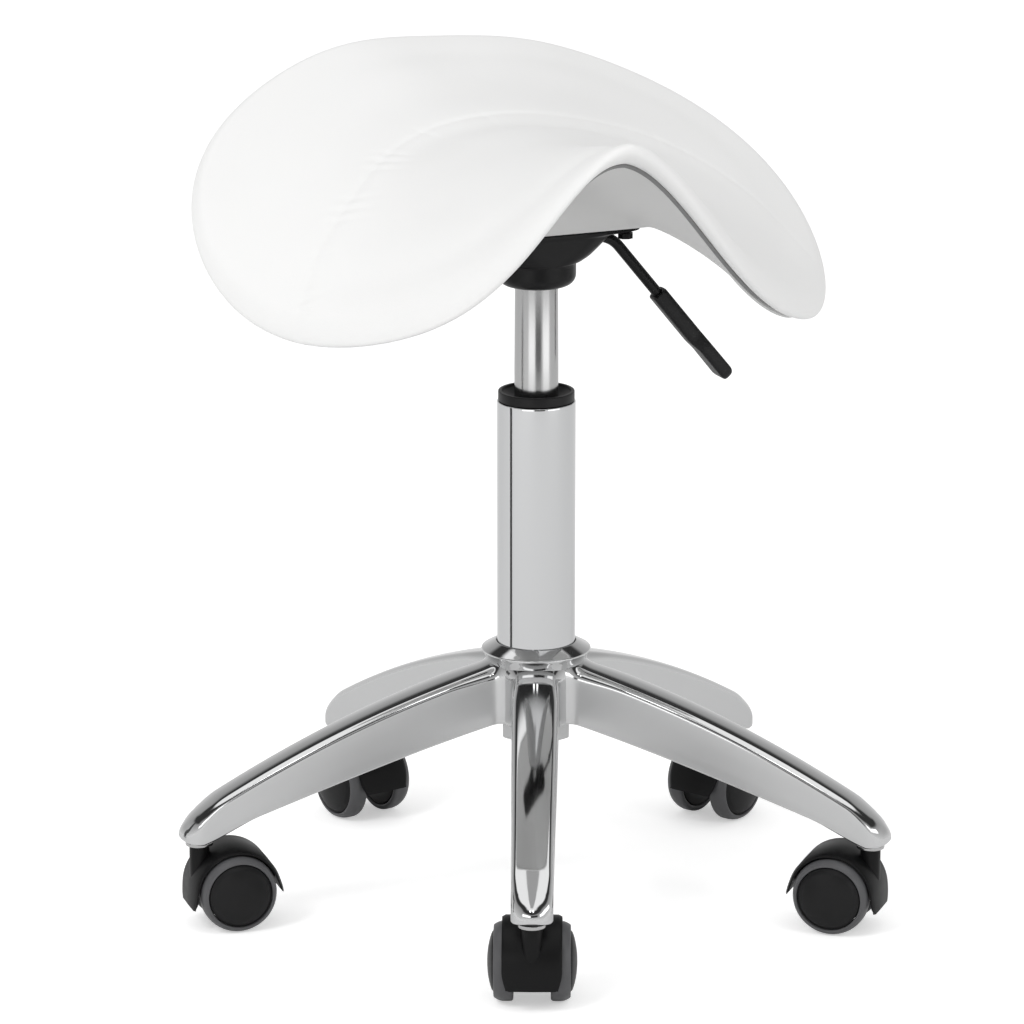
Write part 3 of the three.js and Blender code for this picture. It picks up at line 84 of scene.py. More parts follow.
# Star base
LEG_REACH = 224
LEG_TIP_RADIUS = 13
LEG_ROOT_WIDTH = 30
LEG_ROOT_TOP = 160
LEG_ROOT_BOTTOM = 123
LEG_TIP_TOP = 75
LEG_TIP_BOTTOM = 57
LEG_TIP_DROP = 7
LEG_TIP_RISE = 4
LEG_TIP_LENGTH = 38
LEG_TIP_CORNER = 9
LEG_DOME_DROP = 2
LEG_ROOT_CORNER = 8
LEG_CORNER = 5
LEG_LOWER_CORNER = 1.2
LEG_CROWN_ANGLE = math.radians(11)
LEG_CORNER_STEPS = 8
LEG_CROWN_STEPS = 6
LEG_LOWER_STEPS = 3
LEG_SIDE_SHARES = (0.3, 0.6)
LEG_CORNER_WIDTH_SHARE = 0.98  # the most that a corner may take of the leg's width and height
LEG_CORNER_HEIGHT_SHARE = 0.8
LEG_LOWER_WIDTH_SHARE = 0.4
LEG_WALL = 4
LEG_RIB = 3.5
LEG_POCKETS = 4
LEG_BOSS_RADIUS = 9.5
LEG_TOP_HANDLE_SHARES = (0.19, 0.52)
LEG_BOTTOM_HANDLE_SHARES = (0.25, 0.66)
HUB_RIM_RADIUS = 35
HUB_RIM_HEIGHT = 163
HUB_RIM_EDGE = 2.5
HUB_BODY_RADIUS = 24.5
HUB_BODY_BOTTOM = 120
HUB_FLOOR = 2
HUB_STUB_RADIUS = 23
HUB_STUB_BOTTOM = 107
HUB_STUB_SIDES = 8
HUB_STUB_CHAMFER = 1
HUB_SOCKET_FLOOR = 155
HUB_SKIN_RADIUS = 27.5  # the casting is this much wider than the solid hub between the legs
HUB_SKIN_TOP = 147.5
HUB_CROWN_LINE = 171
HUB_RIM_LIFT = 2.2
ROOT_RISE = 4.5
ROOT_RISE_LENGTH = 11
ROOT_FILLET = 5
ROOT_FILLET_LENGTH = 7

# Column and lift
COLUMN_RADIUS = 25
COLUMN_WALL = 2
COLUMN_TOP = 328.6
COLUMN_SHOULDER_DROP = 4
COLUMN_EDGE = 0.6
BUSH_EDGE = 0.7
CYLINDER_EDGE = 0.5
FOOT_TOP_RADIUS = 14
FOOT_BOTTOM_RADIUS = 13.3
FOOT_BOTTOM = 112
FOOT_PLATE = 3
ROD_TAIL_RADIUS = 4
BUSH_COLLAR_RADIUS = 24.3
BUSH_COLLAR_HEIGHT = 6.6
BUSH_DISH_OUTER = 22
BUSH_DISH_DEPTH = 1.6
BUSH_FUNNEL_DEPTH = 5
BUSH_DEPTH = 74
CYLINDER_RADIUS = 14
CYLINDER_NECK_RADIUS = 13.5
CYLINDER_WALL = 2
CYLINDER_TOP = 425
CYLINDER_TAPER = 75
CYLINDER_BOTTOM = 230
VALVE_BLOCK = 22
PIN_RADIUS = 2.5

# Seat mount
MOUNT_BOTTOM = 403.9
CUP_RADIUS = 25
CUP_HEIGHT = 15.5
CUP_CORNER = 7
CUP_CORNER_STEPS = 8
BELL_ROUNDING = 3
BELL_ROUNDING_STEPS = 5
BELL_WALL = 4
BELL_SHARES = ((0.08, 0), (0.23, 0.22), (0.356, 0.5), (0.46, 0.76), (0.56, 1))
PLATE_LENGTH = 130
PLATE_DEPTH = 52
PLATE_THICKNESS = 3.7
PLATE_EDGE_THICKNESS = 2
PLATE_SQUARENESS = 5
PLATE_EDGE = 0.5
SLOT_WIDTH = 10
SLOT_START = 17.5
SLOT_HEIGHT = 15
SLOT_RELIEF = 0.8  # lets the raised lever clear the plate
SCREW_SPACING = 108
SCREW_PITCH = 32
SCREW_RADIUS = 3
SCREW_SIDES = 24

# Lever
LEVER_RADIUS = 3.5
LEVER_HEIGHT = 434
LEVER_SAG = 3
LEVER_RUN = 42
LEVER_INNER_END = 5
LEVER_ANGLE = math.radians(50.5)
LEVER_BEND = 9
LEVER_STEM = 64
LEVER_STEPS = 6
LEVER_BEND_STEPS = 12
GRIP_LENGTH = 76
GRIP_OVERLAP = 22
GRIP_WIDTH = 12
GRIP_THICKNESS = 10.5
GRIP_PADDLE_WIDTH = 17
GRIP_PADDLE_THICKNESS = 9
GRIP_STEP = 2.4
GRIP_EDGE = 2.4
GRIP_BARREL_EDGE = 3.36
GRIP_CORNER_STEPS = 6
GRIP_EDGE_STEPS = 5
GRIP_NECK_STEPS = 10
GRIP_END_STEPS = 13
GRIP_END_WIDTH_SHARE = 0.55
GRIP_END_THICKNESS_SHARE = 0.45
GRIP_BARREL_SHARE = 0.5
GRIP_NECK_SHARE = 0.66

# Casters
CASTER_TRAIL = 21
TREAD_RADIUS = 25
TREAD_DEPTH = 4.4
TREAD_INNER_FACE = 11.5
TREAD_WIDTH = 12.2
TREAD_EDGE = 2.6
TREAD_EDGE_STEPS = 8
WHEEL_EDGE = 0.4
WHEEL_CAP_STEPS = 12
WHEEL_CAP_POWER = 0.75
WHEEL_DOME = 4
WHEEL_GROOVE = 0.9
WHEEL_CENTRE = TREAD_RADIUS * math.cos(math.pi / 20)
HOOD_RADIUS = 28.4
HOOD_WALL = 2.4
HOOD_TIP_WALL = 0.7
HOOD_FLARE = 2.2
HOOD_WIDTH = 37
HOOD_OUTER_ANGLE = math.radians(-19)
HOOD_INNER_ANGLE = math.radians(184)
HOOD_FANG_ANGLE = math.radians(24)
HOOD_STEPS = 64
HOOD_FANG_PINCH = 2.5
HOOD_SHOULDER_WIDTH = 2.2
HOOD_SHOULDER_HEIGHT = 1.2
HOOD_CROWN = 0.15
HOOD_LIP = 1
HOOD_WEB = 8
HOOD_WEB_STEPS = 40
HOOD_WEB_ANGLE = math.radians(8)
HOOD_BOSS_RADIUS = 6.6
BOSS_EDGE = 0.5
SOCKET_EDGE = 0.6
STEM_EDGE = 0.5
STEM_SOCKET_RADIUS = 6.4
STEM_SOCKET_TOP = 54
STEM_SOCKET_DEPTH = 20
STEM_NECK_RADIUS = 3.7
STEM_RADIUS = 5.5
STEM_HEIGHT = 13
STEM_FLANGE_RADIUS = 8.8
AXLE_RADIUS = 3
AXLE_LENGTH = 39

# Saddle seat
SEAT_LENGTH = 324
SEAT_WIDTH = 416
SEAT_SETBACK = 4.5
OUTLINE_WAVE_SHARES = (-0.0955, -0.114, 0.06, 0, -0.011)
PAN_PAD_HEIGHT = 440
SADDLE_DIP = 495.5
SADDLE_FRONT_RISE = 33
SADDLE_REAR_RISE = 38.5
FLANK_REAR_SHARE, FLANK_MIDDLE_SHARE, FLANK_FRONT_SHARE = 0.21, 0.575, 1.33
LEAN_SHARE = 0.022
RIDGE_RADIUS_REAR = 88
RIDGE_RADIUS_FRONT = 28
CUSHION_EDGE_END = 17
CUSHION_EDGE_SIDE = 19
CUSHION_ROLL = 8
SHOULDER_DROP = 13
SHOULDER_ANGLE = math.radians(31)
SHOULDER_SPREAD_ANGLE = math.radians(23)
SHOULDER_POWER = 4
PAN_INSET = 14
PAN_PAD_LENGTH = 168
PAN_PAD_DEPTH = 60
PAN_PAD_SQUARENESS = 8
PAN_LIP = 8
PAN_THICKNESS = 11
PAN_EDGE_THICKNESS = 5
PAN_EDGE_CORNER = 1.5
PAN_EARLY_SHARE = 0.55
PAN_EARLY_REACH = 0.1
PAN_DEPTH_POWER = 0.7
PAN_TURNS = 240
PAN_EDGE_STEPS = 6
PAN_RING_SHARES = (-0.99, -0.5, -0.02, 0, 0.01, 0.03, 0.06, 0.1, 0.15, 0.2, 0.26, 0.33, 0.4, 0.48, 0.56,
                   0.64, 0.72, 0.8, 0.88, 0.94, 0.98)

# Upholstery
COVER_TURNS = 360
COVER_ROWS = 120
COVER_ROLL_STEPS = 18
COVER_FIRST_ROW = 0.02
COVER_ROW_POWER = 1.25  # over 1 brings the rows closer together at the rim
COVER_FLOOR_SHARES = (0.9, 0.75, 0.6, 0.45, 0.3, 0.2, 0.12, 0.06, 0.02, 0, -0.5, -0.98)
COVER_SHARP_ANGLE = math.radians(60)
COVER_RIM_SWELL = 0.6
COVER_SWELL = 2.2  # added to the rim's swell over the length below
COVER_SWELL_LENGTH = 40
COVER_UNDER_SHARE = 0.3  # what is left of the relief under the roll
COVER_EDGE_LIFT = 5  # the left edge is thinner than the right
NOSE_DROP = 5  # the padding is pulled down over the tip of the nose
NOSE_WIDTH = 40
NOSE_LENGTH = 45
REAR_SHOULDERS = ((6.4, 0.42, 0.34), (3.2, -0.4, 0.3))  # lift, turn from the rear and spread
REAR_FADE = 55
ARCH_LIFT = 6
ARCH_TURN = -0.19
ARCH_SPREAD = 0.2
# Side and front
SEAM_PLACES = (
    (-192, 62), (-181, 46), (-169, 30), (-152, 9), (-122, -15), (-97, -36), (-75, -50), (-47, -60),
    (-10, -63), (32, -67), (78, -70), (110, -66), (140, -52), (165, -28), (186, 8), (196, 34),
)
SEAM_SMOOTHING = 20
SEAM_BATCH = 4096
SEAM_DEPTH = 0.8
SEAM_WIDTH = 1.7
SEAM_STITCH = 3.4
SEAM_FADE = 14
SEAM_FADE_SHARE = 0.5
VALLEY_DEPTH = 4.6
VALLEY_WIDTH = 17
VALLEY_AHEAD = 15
VALLEY_PLACE = 262
VALLEY_SPREAD = 95
# Distance along the seam and strength
PUCKER_PLACES = (
    (20, 0.6), (28, 0.9), (37, 0.7), (66, 0.5), (92, 0.8), (101, 1.0), (111, 0.7), (139, 0.8),
    (148, 1.0), (156, 0.6), (186, 0.5), (231, 0.35), (300, 0.3), (352, 0.4), (371, 0.3), (402, 0.5),
)
PUCKER_HEIGHT = 0.55
PUCKER_WIDTH = 2.0
PUCKER_LENGTH = 9
PUCKER_FRONT_LENGTH = 14.4
PUCKER_LEAN = 0.25
PUCKER_BULGE_PLACE = 4.8
PUCKER_BULGE_WIDTH = 2.4
PUCKER_BULGE_SHARE = 0.5
ROLL_RIDGE_HEIGHT = 1.6
ROLL_RIDGE_INSET = 9
ROLL_VALLEY_DEPTH = 2.8
ROLL_VALLEY_INSET = 30
ROLL_WIDTH = 11
ROLL_BASE_SHARE, ROLL_NOSE_SHARE, ROLL_RIGHT_SHARE = 0.25, 0.45, 0.3
WELT_RADIUS = 1.7
WELT_INSET = 12.4
WELT_SINK = 1.02
WELT_SIDES = 12

ROUND = 96  # facets round a turned piece
SMALL_ROUND = 48
BORE_SIDES = 32
CUT_OVERRUN = 1
SHARP_ANGLE = math.radians(35)


# Mesh tools

def sharpen(mesh, angle):
    """Smooth faces, with the edges over an angle kept sharp."""
    work = bmesh.new()
    work.from_mesh(mesh)
    for face in work.faces:
        face.smooth = True
    for edge in work.edges:
        edge.smooth = len(edge.link_faces) != 2 or edge.calc_face_angle(0) < angle
    work.to_mesh(mesh)
    work.free()


def mesh_piece(name, points, faces, place, angle=SHARP_ANGLE):
    """A mesh object from points in millimetres, stood in the row frame by a placing matrix."""
    mesh = bpy.data.meshes.new(name)
    scaled = np.array(Matrix.Scale(MM, 4) @ place)
    placed = np.asarray(points, float) @ scaled[:3, :3].T + scaled[:3, 3]
    mesh.from_pydata(placed.tolist(), [], faces)
    work = bmesh.new()
    work.from_mesh(mesh)
    bmesh.ops.remove_doubles(work, verts=work.verts, dist=1e-7)
    bmesh.ops.recalc_face_normals(work, faces=work.faces)
    work.to_mesh(mesh)
    work.free()
    sharpen(mesh, angle)
    piece = bpy.data.objects.new(name, mesh)
    bpy.context.scene.collection.objects.link(piece)
    return piece


def rounded(points, radius, is_closed=False, steps=4):
    """A flat outline with its corners turned into small curves."""
    count = len(points)
    result = []
    for i, point in enumerate(points):
        here = Vector(point)
        if not is_closed and i in (0, count - 1):
            result.append(here)
            continue
        before = Vector(points[i - 1]) - here
        after = Vector(points[(i + 1) % count]) - here
        start = here + before.normalized() * min(radius, before.length * 0.45)
        end = here + after.normalized() * min(radius, after.length * 0.45)
        for k in range(steps + 1):
            t = k / steps
            result.append(start * (1 - t) ** 2 + here * (2 * t * (1 - t)) + end * t ** 2)
    return result


def skin(rows, is_ring=False, is_capped=True):
    """The points and faces of a surface through rows of equal count. Each row closes on itself."""
    count = len(rows[0])
    points = [point for row in rows for point in row]
    faces = []
    bands = len(rows) if is_ring else len(rows) - 1
    for i in range(bands):
        below, above = i * count, ((i + 1) % len(rows)) * count
        for j in range(count):
            following = (j + 1) % count
            faces.append((below + j, below + following, above + following, above + j))
    if is_capped and not is_ring:
        faces.append(tuple(reversed(range(count))))
        faces.append(tuple(range(len(points) - count, len(points))))
    return points, faces


def turned(profile, sides=ROUND, is_ring=False):
    """A profile of (radius, height) pairs turned about the Z axis."""
    rows = []
    for radius, height in profile:
        row = []
        for j in range(sides):
            turn = 2 * math.pi * j / sides
            row.append((radius * math.cos(turn), radius * math.sin(turn), height))
        rows.append(row)
    return skin(rows, is_ring, is_capped=False)


def turned_ring(profile, corner, sides=ROUND, steps=4):
    """A closed profile with softened corners, turned about the Z axis."""
    return turned(rounded(profile, corner, is_closed=True, steps=steps), sides, is_ring=True)


def bore_shape(radius, bottom, top, sides=BORE_SIDES):
    """A plain upright plug that cuts a bore."""
    return turned([(0, bottom), (radius, bottom), (radius, top), (0, top)], sides)


def moved(shape, matrix):
    points, faces = shape
    return [tuple(matrix @ Vector(point)) for point in points], faces


def merged(*shapes):
    """Several shapes as one list of points and faces."""
    points, faces = [], []
    for shape_points, shape_faces in shapes:
        start = len(points)
        points.extend(shape_points)
        faces.extend(tuple(start + i for i in face) for face in shape_faces)
    return points, faces


def cut_away(piece, tools):
    """Takes tool objects out of a piece and deletes them."""
    for tool in tools:
        modifier = piece.modifiers.new("cut", "BOOLEAN")
        modifier.operation = "DIFFERENCE"
        modifier.solver = "EXACT"
        modifier.object = tool
    graph = bpy.context.evaluated_depsgraph_get()
    mesh = bpy.data.meshes.new_from_object(piece.evaluated_get(graph))
    piece.modifiers.clear()
    piece.data = mesh
    for tool in tools:
        bpy.data.objects.remove(tool)


def smooth_step(start, end, value):
    share = np.clip((value - start) / (end - start), 0, 1)
    return share * share * (3 - 2 * share)


def quarter(steps):
    """Angles from zero to a right angle."""
    return [(math.pi / 2) * i / steps for i in range(steps + 1)]


def mix(a, b, share):
    return a + (b - a) * share


# Materials

WEAR_DETAIL = 4
GRAIN_DETAIL = 3
GRAIN_DEPTH = 0.0005
POLISHED_SLOPE = 0.25
SATIN_SLOPE = 0.02
VINYL_COLOR = (0.86, 0.86, 0.855)
VINYL_SHADE = (0.83, 0.83, 0.825)
VINYL_ROUGHNESS = 0.4
VINYL_SPREAD = 0.06
VINYL_PEBBLES = 900
VINYL_CLOUDS = 14
VINYL_RELIEF = 0.12
VINYL_DEPTH = 0.0003


def new_material(name, color, roughness, metallic=0.0):
    material = bpy.data.materials.new(name)
    material.use_nodes = True
    shader = material.node_tree.nodes["Principled BSDF"]
    shader.inputs["Base Color"].default_value = (*color, 1)
    shader.inputs["Roughness"].default_value = roughness
    shader.inputs["Metallic"].default_value = metallic
    return material, shader


def feed(tree, value, node, name):
    """Sets a node's input to a value, or links it to an output given as a node and a name."""
    if isinstance(value, tuple) and isinstance(value[0], bpy.types.Node):
        tree.links.new(value[0].outputs[value[1]], node.inputs[name])
    else:
        node.inputs[name].default_value = value


def add_node(tree, kind, inputs=None, **settings):
    node = tree.nodes.new("ShaderNode" + kind)
    for name, value in settings.items():
        setattr(node, name, value)
    for name, value in (inputs or {}).items():
        feed(tree, value, node, name)
    return node


def vary_roughness(tree, shader, pattern, low, high):
    rough = add_node(tree, "MapRange", {"To Min": low, "To Max": high, "Value": (pattern, "Fac")})
    feed(tree, (rough, "Result"), shader, "Roughness")


def vary_color(tree, shader, pattern, shade, color):
    inputs = {"A": (*shade, 1), "B": (*color, 1), "Factor": (pattern, "Fac")}
    feed(tree, (add_node(tree, "Mix", inputs, data_type="RGBA"), "Result"), shader, "Base Color")


def add_bump(tree, shader, relief, strength, depth):
    """Fine relief, with its depth in metres."""
    bump = add_node(tree, "Bump", {"Strength": strength, "Distance": depth, "Height": relief})
    feed(tree, (bump, "Normal"), shader, "Normal")


def finish_material(name, color, roughness, metallic=0.0, grain=400.0, height=0.02, wear=40.0, spread=0.15,
                    tint=0.0, stretch=(1, 1, 1)):
    """A material whose roughness, colour and fine grain vary with noise in the piece's own space."""
    material, shader = new_material(name, color, roughness, metallic)
    tree = material.node_tree
    own_space = (add_node(tree, "TexCoord"), "Object")
    place = (add_node(tree, "Mapping", {"Scale": stretch, "Vector": own_space}), "Vector")
    broad = add_node(tree, "TexNoise", {"Scale": wear, "Detail": WEAR_DETAIL, "Vector": place})
    vary_roughness(tree, shader, broad, roughness * (1 - spread), roughness * (1 + spread))
    if tint:
        vary_color(tree, shader, broad, [c * (1 - tint) for c in color], color)
    fine = add_node(tree, "TexNoise", {"Scale": grain, "Detail": GRAIN_DETAIL, "Vector": place})
    add_bump(tree, shader, (fine, "Fac"), height, GRAIN_DEPTH)
    return material


def satin_sides(material, level):
    """Leaves upright faces less polished than the ones that face up or down."""
    tree = material.node_tree
    shader = tree.nodes["Principled BSDF"]
    worn = shader.inputs["Roughness"].links[0].from_node
    parts = add_node(tree, "SeparateXYZ", {"Vector": (add_node(tree, "NewGeometry"), "True Normal")})
    upward = add_node(tree, "Math", {0: (parts, "Z")}, operation="ABSOLUTE")
    slopes = {"From Min": POLISHED_SLOPE, "From Max": SATIN_SLOPE, "To Max": level}
    share = add_node(tree, "MapRange", {**slopes, "Value": (upward, "Value")})
    rougher = add_node(tree, "Math", {0: (worn, "Result"), 1: (share, "Result")}, operation="ADD")
    feed(tree, (rougher, "Value"), shader, "Roughness")


def dull(material, level):
    """Lowers the sheen that a dark surface takes from pale surroundings."""
    material.node_tree.nodes["Principled BSDF"].inputs["Specular IOR Level"].default_value = level


def vinyl_material():
    """White leatherette: a pebbled grain over a soft sheen."""
    material, shader = new_material("white_vinyl_look", VINYL_COLOR, VINYL_ROUGHNESS)
    tree = material.node_tree
    place = (add_node(tree, "TexCoord"), "Object")
    pebble = add_node(tree, "TexVoronoi", {"Scale": VINYL_PEBBLES, "Vector": place})
    broad = add_node(tree, "TexNoise", {"Scale": VINYL_CLOUDS, "Vector": place})
    vary_color(tree, shader, broad, VINYL_SHADE, VINYL_COLOR)
    vary_roughness(tree, shader, broad, VINYL_ROUGHNESS - VINYL_SPREAD, VINYL_ROUGHNESS + VINYL_SPREAD)
    add_bump(tree, shader, (pebble, "Distance"), VINYL_RELIEF, VINYL_DEPTH)
    return material


CHROME = finish_material("chrome", (0.6, 0.605, 0.61), 0.06, 1.0, grain=900, height=0.004, wear=30,
                         spread=0.4)
POLISHED = finish_material("polished_cast", (0.62, 0.623, 0.625), 0.08, 1.0, grain=60, height=0.01, wear=20,
                           spread=0.4)
SATIN = finish_material("satin_steel", (0.46, 0.46, 0.46), 0.2, 1.0, grain=900, height=0.03, wear=60,
                        spread=0.2, stretch=(1, 1, 0.05))
STEEL = finish_material("bare_steel", (0.42, 0.42, 0.42), 0.3, 1.0, grain=600, height=0.02, wear=60,
                        spread=0.2)
BLACK_PLASTIC = finish_material("black_plastic", (0.01, 0.01, 0.0105), 0.4, grain=1500, height=0.08,
                                wear=80, spread=0.12, tint=0.2)
HOOD_PLASTIC = finish_material("hood_plastic", (0.005, 0.005, 0.0053), 0.42, grain=1500, height=0.08,
                               wear=80, spread=0.12, tint=0.2)
GREY_TREAD = finish_material("grey_tread", (0.1, 0.1, 0.104), 0.36, grain=1200, height=0.06, wear=90,
                             spread=0.15, tint=0.12)
BLACK_STEEL = finish_material("black_enamel", (0.007, 0.007, 0.0075), 0.34, grain=700, height=0.08, wear=60,
                              spread=0.2, tint=0.2)
RUBBER = finish_material("black_rubber", (0.02, 0.02, 0.02), 0.7, grain=1500, height=0.1, wear=60,
                         spread=0.1, tint=0.2)
# The pan shell is white. Its colour is held darker, at 0.66, as painted shade for its underside beneath the
# seat.
SHELL_WITH_PAINTED_SHADE = finish_material("white_shell", (0.66, 0.66, 0.655), 0.45, grain=1300, height=0.05, wear=40,
                        spread=0.12, tint=0.03)
VINYL = vinyl_material()
# The welt is coloured dark grey as painted shade for the gap between the cover and the pan.
WELT_PAINTED_GAP_SHADE = finish_material("welt_painted_gap_shade", (0.2, 0.2, 0.2), 0.5)
satin_sides(POLISHED, 0.3)
dull(BLACK_PLASTIC, 0.22)
dull(BLACK_STEEL, 0.18)
dull(HOOD_PLASTIC, 0.18)
dull(GREY_TREAD, 0.3)

# Hidden nodes that are not named here are plain steel. Numbered nodes go by their first words.
MATERIALS = {
    "star_base": POLISHED, "column_tube": CHROME, "column_bush": BLACK_PLASTIC, "bump_stop": RUBBER,
    "gas_cylinder": SATIN, "rod_guide": BLACK_PLASTIC, "seat_mount": BLACK_STEEL, "lever_rod": BLACK_STEEL,
    "lever_grip": BLACK_PLASTIC, "seat_pan": SHELL_WITH_PAINTED_SHADE, "seat_cushion": VINYL, "mount_screw": BLACK_STEEL,
    "caster_stem": SATIN, "caster_hood": HOOD_PLASTIC, "caster_wheel": BLACK_PLASTIC,
    "caster_tread": GREY_TREAD,
}


def material_of(name):
    return MATERIALS.get(name) or MATERIALS.get(name.rsplit("_", 1)[0], STEEL)


for node_name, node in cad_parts.items():
    node.data.materials.clear()
    node.data.materials.append(material_of(node_name))


def dress(piece, body, node_name, *others):
    """Gives a piece the finish, the body and the slot of the node that it stands for."""
    piece.data.materials.clear()
    piece.data.materials.append(material_of(node_name))
    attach(piece, body)
    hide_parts(node_name, *others)
    return piece


# Star base

LEG_START = HUB_BODY_RADIUS - LEG_WALL
LEG_END = LEG_REACH + LEG_TIP_RADIUS
LEG_STATIONS = 70
LEG_STATION_POWER = 1.15  # over 1 brings the stations closer together at the root
LEG_NOSE_STEPS = 14
LEG_NOSE_TURN_SHARE = 0.97


def leg_edge(reach, root, tip, handle_shares):
    along = min(max((reach - LEG_START) / (LEG_END - LEG_START), 0), 1)
    back = 1 - along
    near = mix(root, tip, handle_shares[0])
    far = mix(root, tip, handle_shares[1])
    return root * back ** 3 + 3 * near * back ** 2 * along + 3 * far * back * along ** 2 + tip * along ** 3


def leg_top(reach):
    return leg_edge(reach, LEG_ROOT_TOP, LEG_TIP_TOP - LEG_TIP_DROP / 2, LEG_TOP_HANDLE_SHARES)


def leg_bottom(reach):
    edge = leg_edge(reach, LEG_ROOT_BOTTOM, LEG_TIP_BOTTOM, LEG_BOTTOM_HANDLE_SHARES)
    end = leg_edge(LEG_REACH, LEG_ROOT_BOTTOM, LEG_TIP_BOTTOM, LEG_BOTTOM_HANDLE_SHARES)
    swell = float(smooth_step(LEG_REACH - LEG_TIP_LENGTH, LEG_REACH, reach))
    return edge - (end - LEG_TIP_BOTTOM) * swell


def leg_half_width(reach):
    along = float(smooth_step(HUB_BODY_RADIUS, LEG_REACH, reach))
    return mix(LEG_ROOT_WIDTH / 2, LEG_TIP_RADIUS, along)


def root_sweep(reach, size, length):
    """How far a round fillet of this length has grown where the leg meets the hub."""
    away = min(max((reach - HUB_SKIN_RADIUS) / length, 0), 1)
    return size * (1 - math.sqrt(1 - (1 - away) ** 2))


def leg_section(reach, half_width, bottom, top, corner, arch=0):
    """One upright cross-section: round upper corners that run into a slight crown, and small lower ones."""
    radius = min(corner, half_width * LEG_CORNER_WIDTH_SHARE, (top - bottom) * LEG_CORNER_HEIGHT_SHARE)
    low = min(LEG_LOWER_CORNER, half_width * LEG_LOWER_WIDTH_SHARE)
    right = []
    for turn in quarter(LEG_LOWER_STEPS):
        right.append((half_width - low + low * math.sin(turn), bottom + low - low * math.cos(turn)))
    for share in LEG_SIDE_SHARES:
        right.append((half_width, mix(bottom + low, top - radius, share)))
    for i in range(LEG_CORNER_STEPS + 1):
        turn = (math.pi / 2 - LEG_CROWN_ANGLE) * i / LEG_CORNER_STEPS
        across = half_width - radius + radius * math.cos(turn)
        right.append((across, top - radius + radius * math.sin(turn)))
    shoulder, height = right[-1]
    crown = math.tan(LEG_CROWN_ANGLE) * shoulder / 2
    for i in range(1, LEG_CROWN_STEPS):
        share = 1 - i / LEG_CROWN_STEPS
        right.append((shoulder * share, height + crown * (1 - share ** 2)))
    outline = right + [(0, height + crown)] + [(-y, z) for y, z in reversed(right)]
    row = []
    for y, z in outline:
        lift = arch * math.sqrt(max(0, 1 - (y / half_width) ** 2)) if z > top - radius else 0
        row.append((reach, y, z + lift))
    return row


def tip_share(reach):
    """How far the leg has turned into the domed tip."""
    return float(smooth_step(LEG_REACH - LEG_TIP_RADIUS, LEG_REACH + LEG_TIP_RADIUS / 2, reach))


def leg_shape():
    rows = []
    for i in range(LEG_STATIONS + 1):
        reach = mix(LEG_START, LEG_REACH, (i / LEG_STATIONS) ** LEG_STATION_POWER)
        root = 1 - float(smooth_step(HUB_SKIN_RADIUS, HUB_RIM_RADIUS + LEG_ROOT_WIDTH, reach))
        corner = mix(mix(LEG_CORNER, LEG_TIP_CORNER, tip_share(reach)), LEG_ROOT_CORNER, root)
        half_width = leg_half_width(reach) + root_sweep(reach, ROOT_FILLET, ROOT_FILLET_LENGTH)
        top = leg_top(reach) - LEG_DOME_DROP * tip_share(reach)
        arch = root_sweep(reach, ROOT_RISE, ROOT_RISE_LENGTH)
        rows.append(leg_section(reach, half_width, leg_bottom(reach), top, corner, arch))
    for i in range(1, LEG_NOSE_STEPS + 1):
        turn = (math.pi / 2) * LEG_NOSE_TURN_SHARE * i / LEG_NOSE_STEPS
        reach = LEG_REACH + LEG_TIP_RADIUS * math.sin(turn)
        rounding = 1 - math.cos(turn)
        top = leg_top(reach) - LEG_TIP_DROP * rounding - LEG_DOME_DROP * tip_share(reach)
        bottom = LEG_TIP_BOTTOM + LEG_TIP_RISE * rounding
        rows.append(leg_section(reach, LEG_TIP_RADIUS * math.cos(turn), bottom, top, LEG_TIP_CORNER))
    return skin(rows)


def pocket_shapes():
    start = HUB_RIM_RADIUS + LEG_WALL
    pitch = (LEG_REACH - LEG_BOSS_RADIUS - LEG_RIB - start) / LEG_POCKETS
    shapes = []
    for i in range(LEG_POCKETS):
        rows = []
        for reach in (start + i * pitch, start + (i + 1) * pitch - LEG_RIB):
            half = leg_half_width(reach) - LEG_WALL
            top = leg_top(reach) - LEG_CORNER - LEG_WALL / 2
            bottom = leg_bottom(reach) - LEG_WALL
            rows.append([(reach, -half, bottom), (reach, half, bottom),
                         (reach, half - LEG_WALL / 2, top), (reach, LEG_WALL / 2 - half, top)])
        shapes.append(skin(rows))
    return shapes


def star_base():
    upright = Matrix.Identity(4)
    leg = mesh_piece("leg_pattern", *leg_shape(), upright)
    stem_hole = bore_shape(STEM_RADIUS + FIT_GAP, LEG_TIP_BOTTOM - LEG_WALL,
                           LEG_TIP_BOTTOM + STEM_HEIGHT + FIT_GAP)
    shapes = pocket_shapes() + [moved(stem_hole, Matrix.Translation((LEG_REACH, 0, 0)))]
    cut_away(leg, [mesh_piece("leg_cutter", *shape, upright) for shape in shapes])
    points = [tuple(vertex.co / MM) for vertex in leg.data.vertices]
    faces = [tuple(polygon.vertices) for polygon in leg.data.polygons]
    bpy.data.objects.remove(leg)
    legs = []
    for i in range(LEG_COUNT):
        turn = FRONT_LEG + i * 2 * math.pi / LEG_COUNT
        legs.append(moved((points, faces), Matrix.Rotation(turn, 4, "Z")))
    base = mesh_piece("base_casting", *merged(*legs, hub_shape(), stub_shape()), BASE_PLACE)
    return dress(base, "base", "star_base")


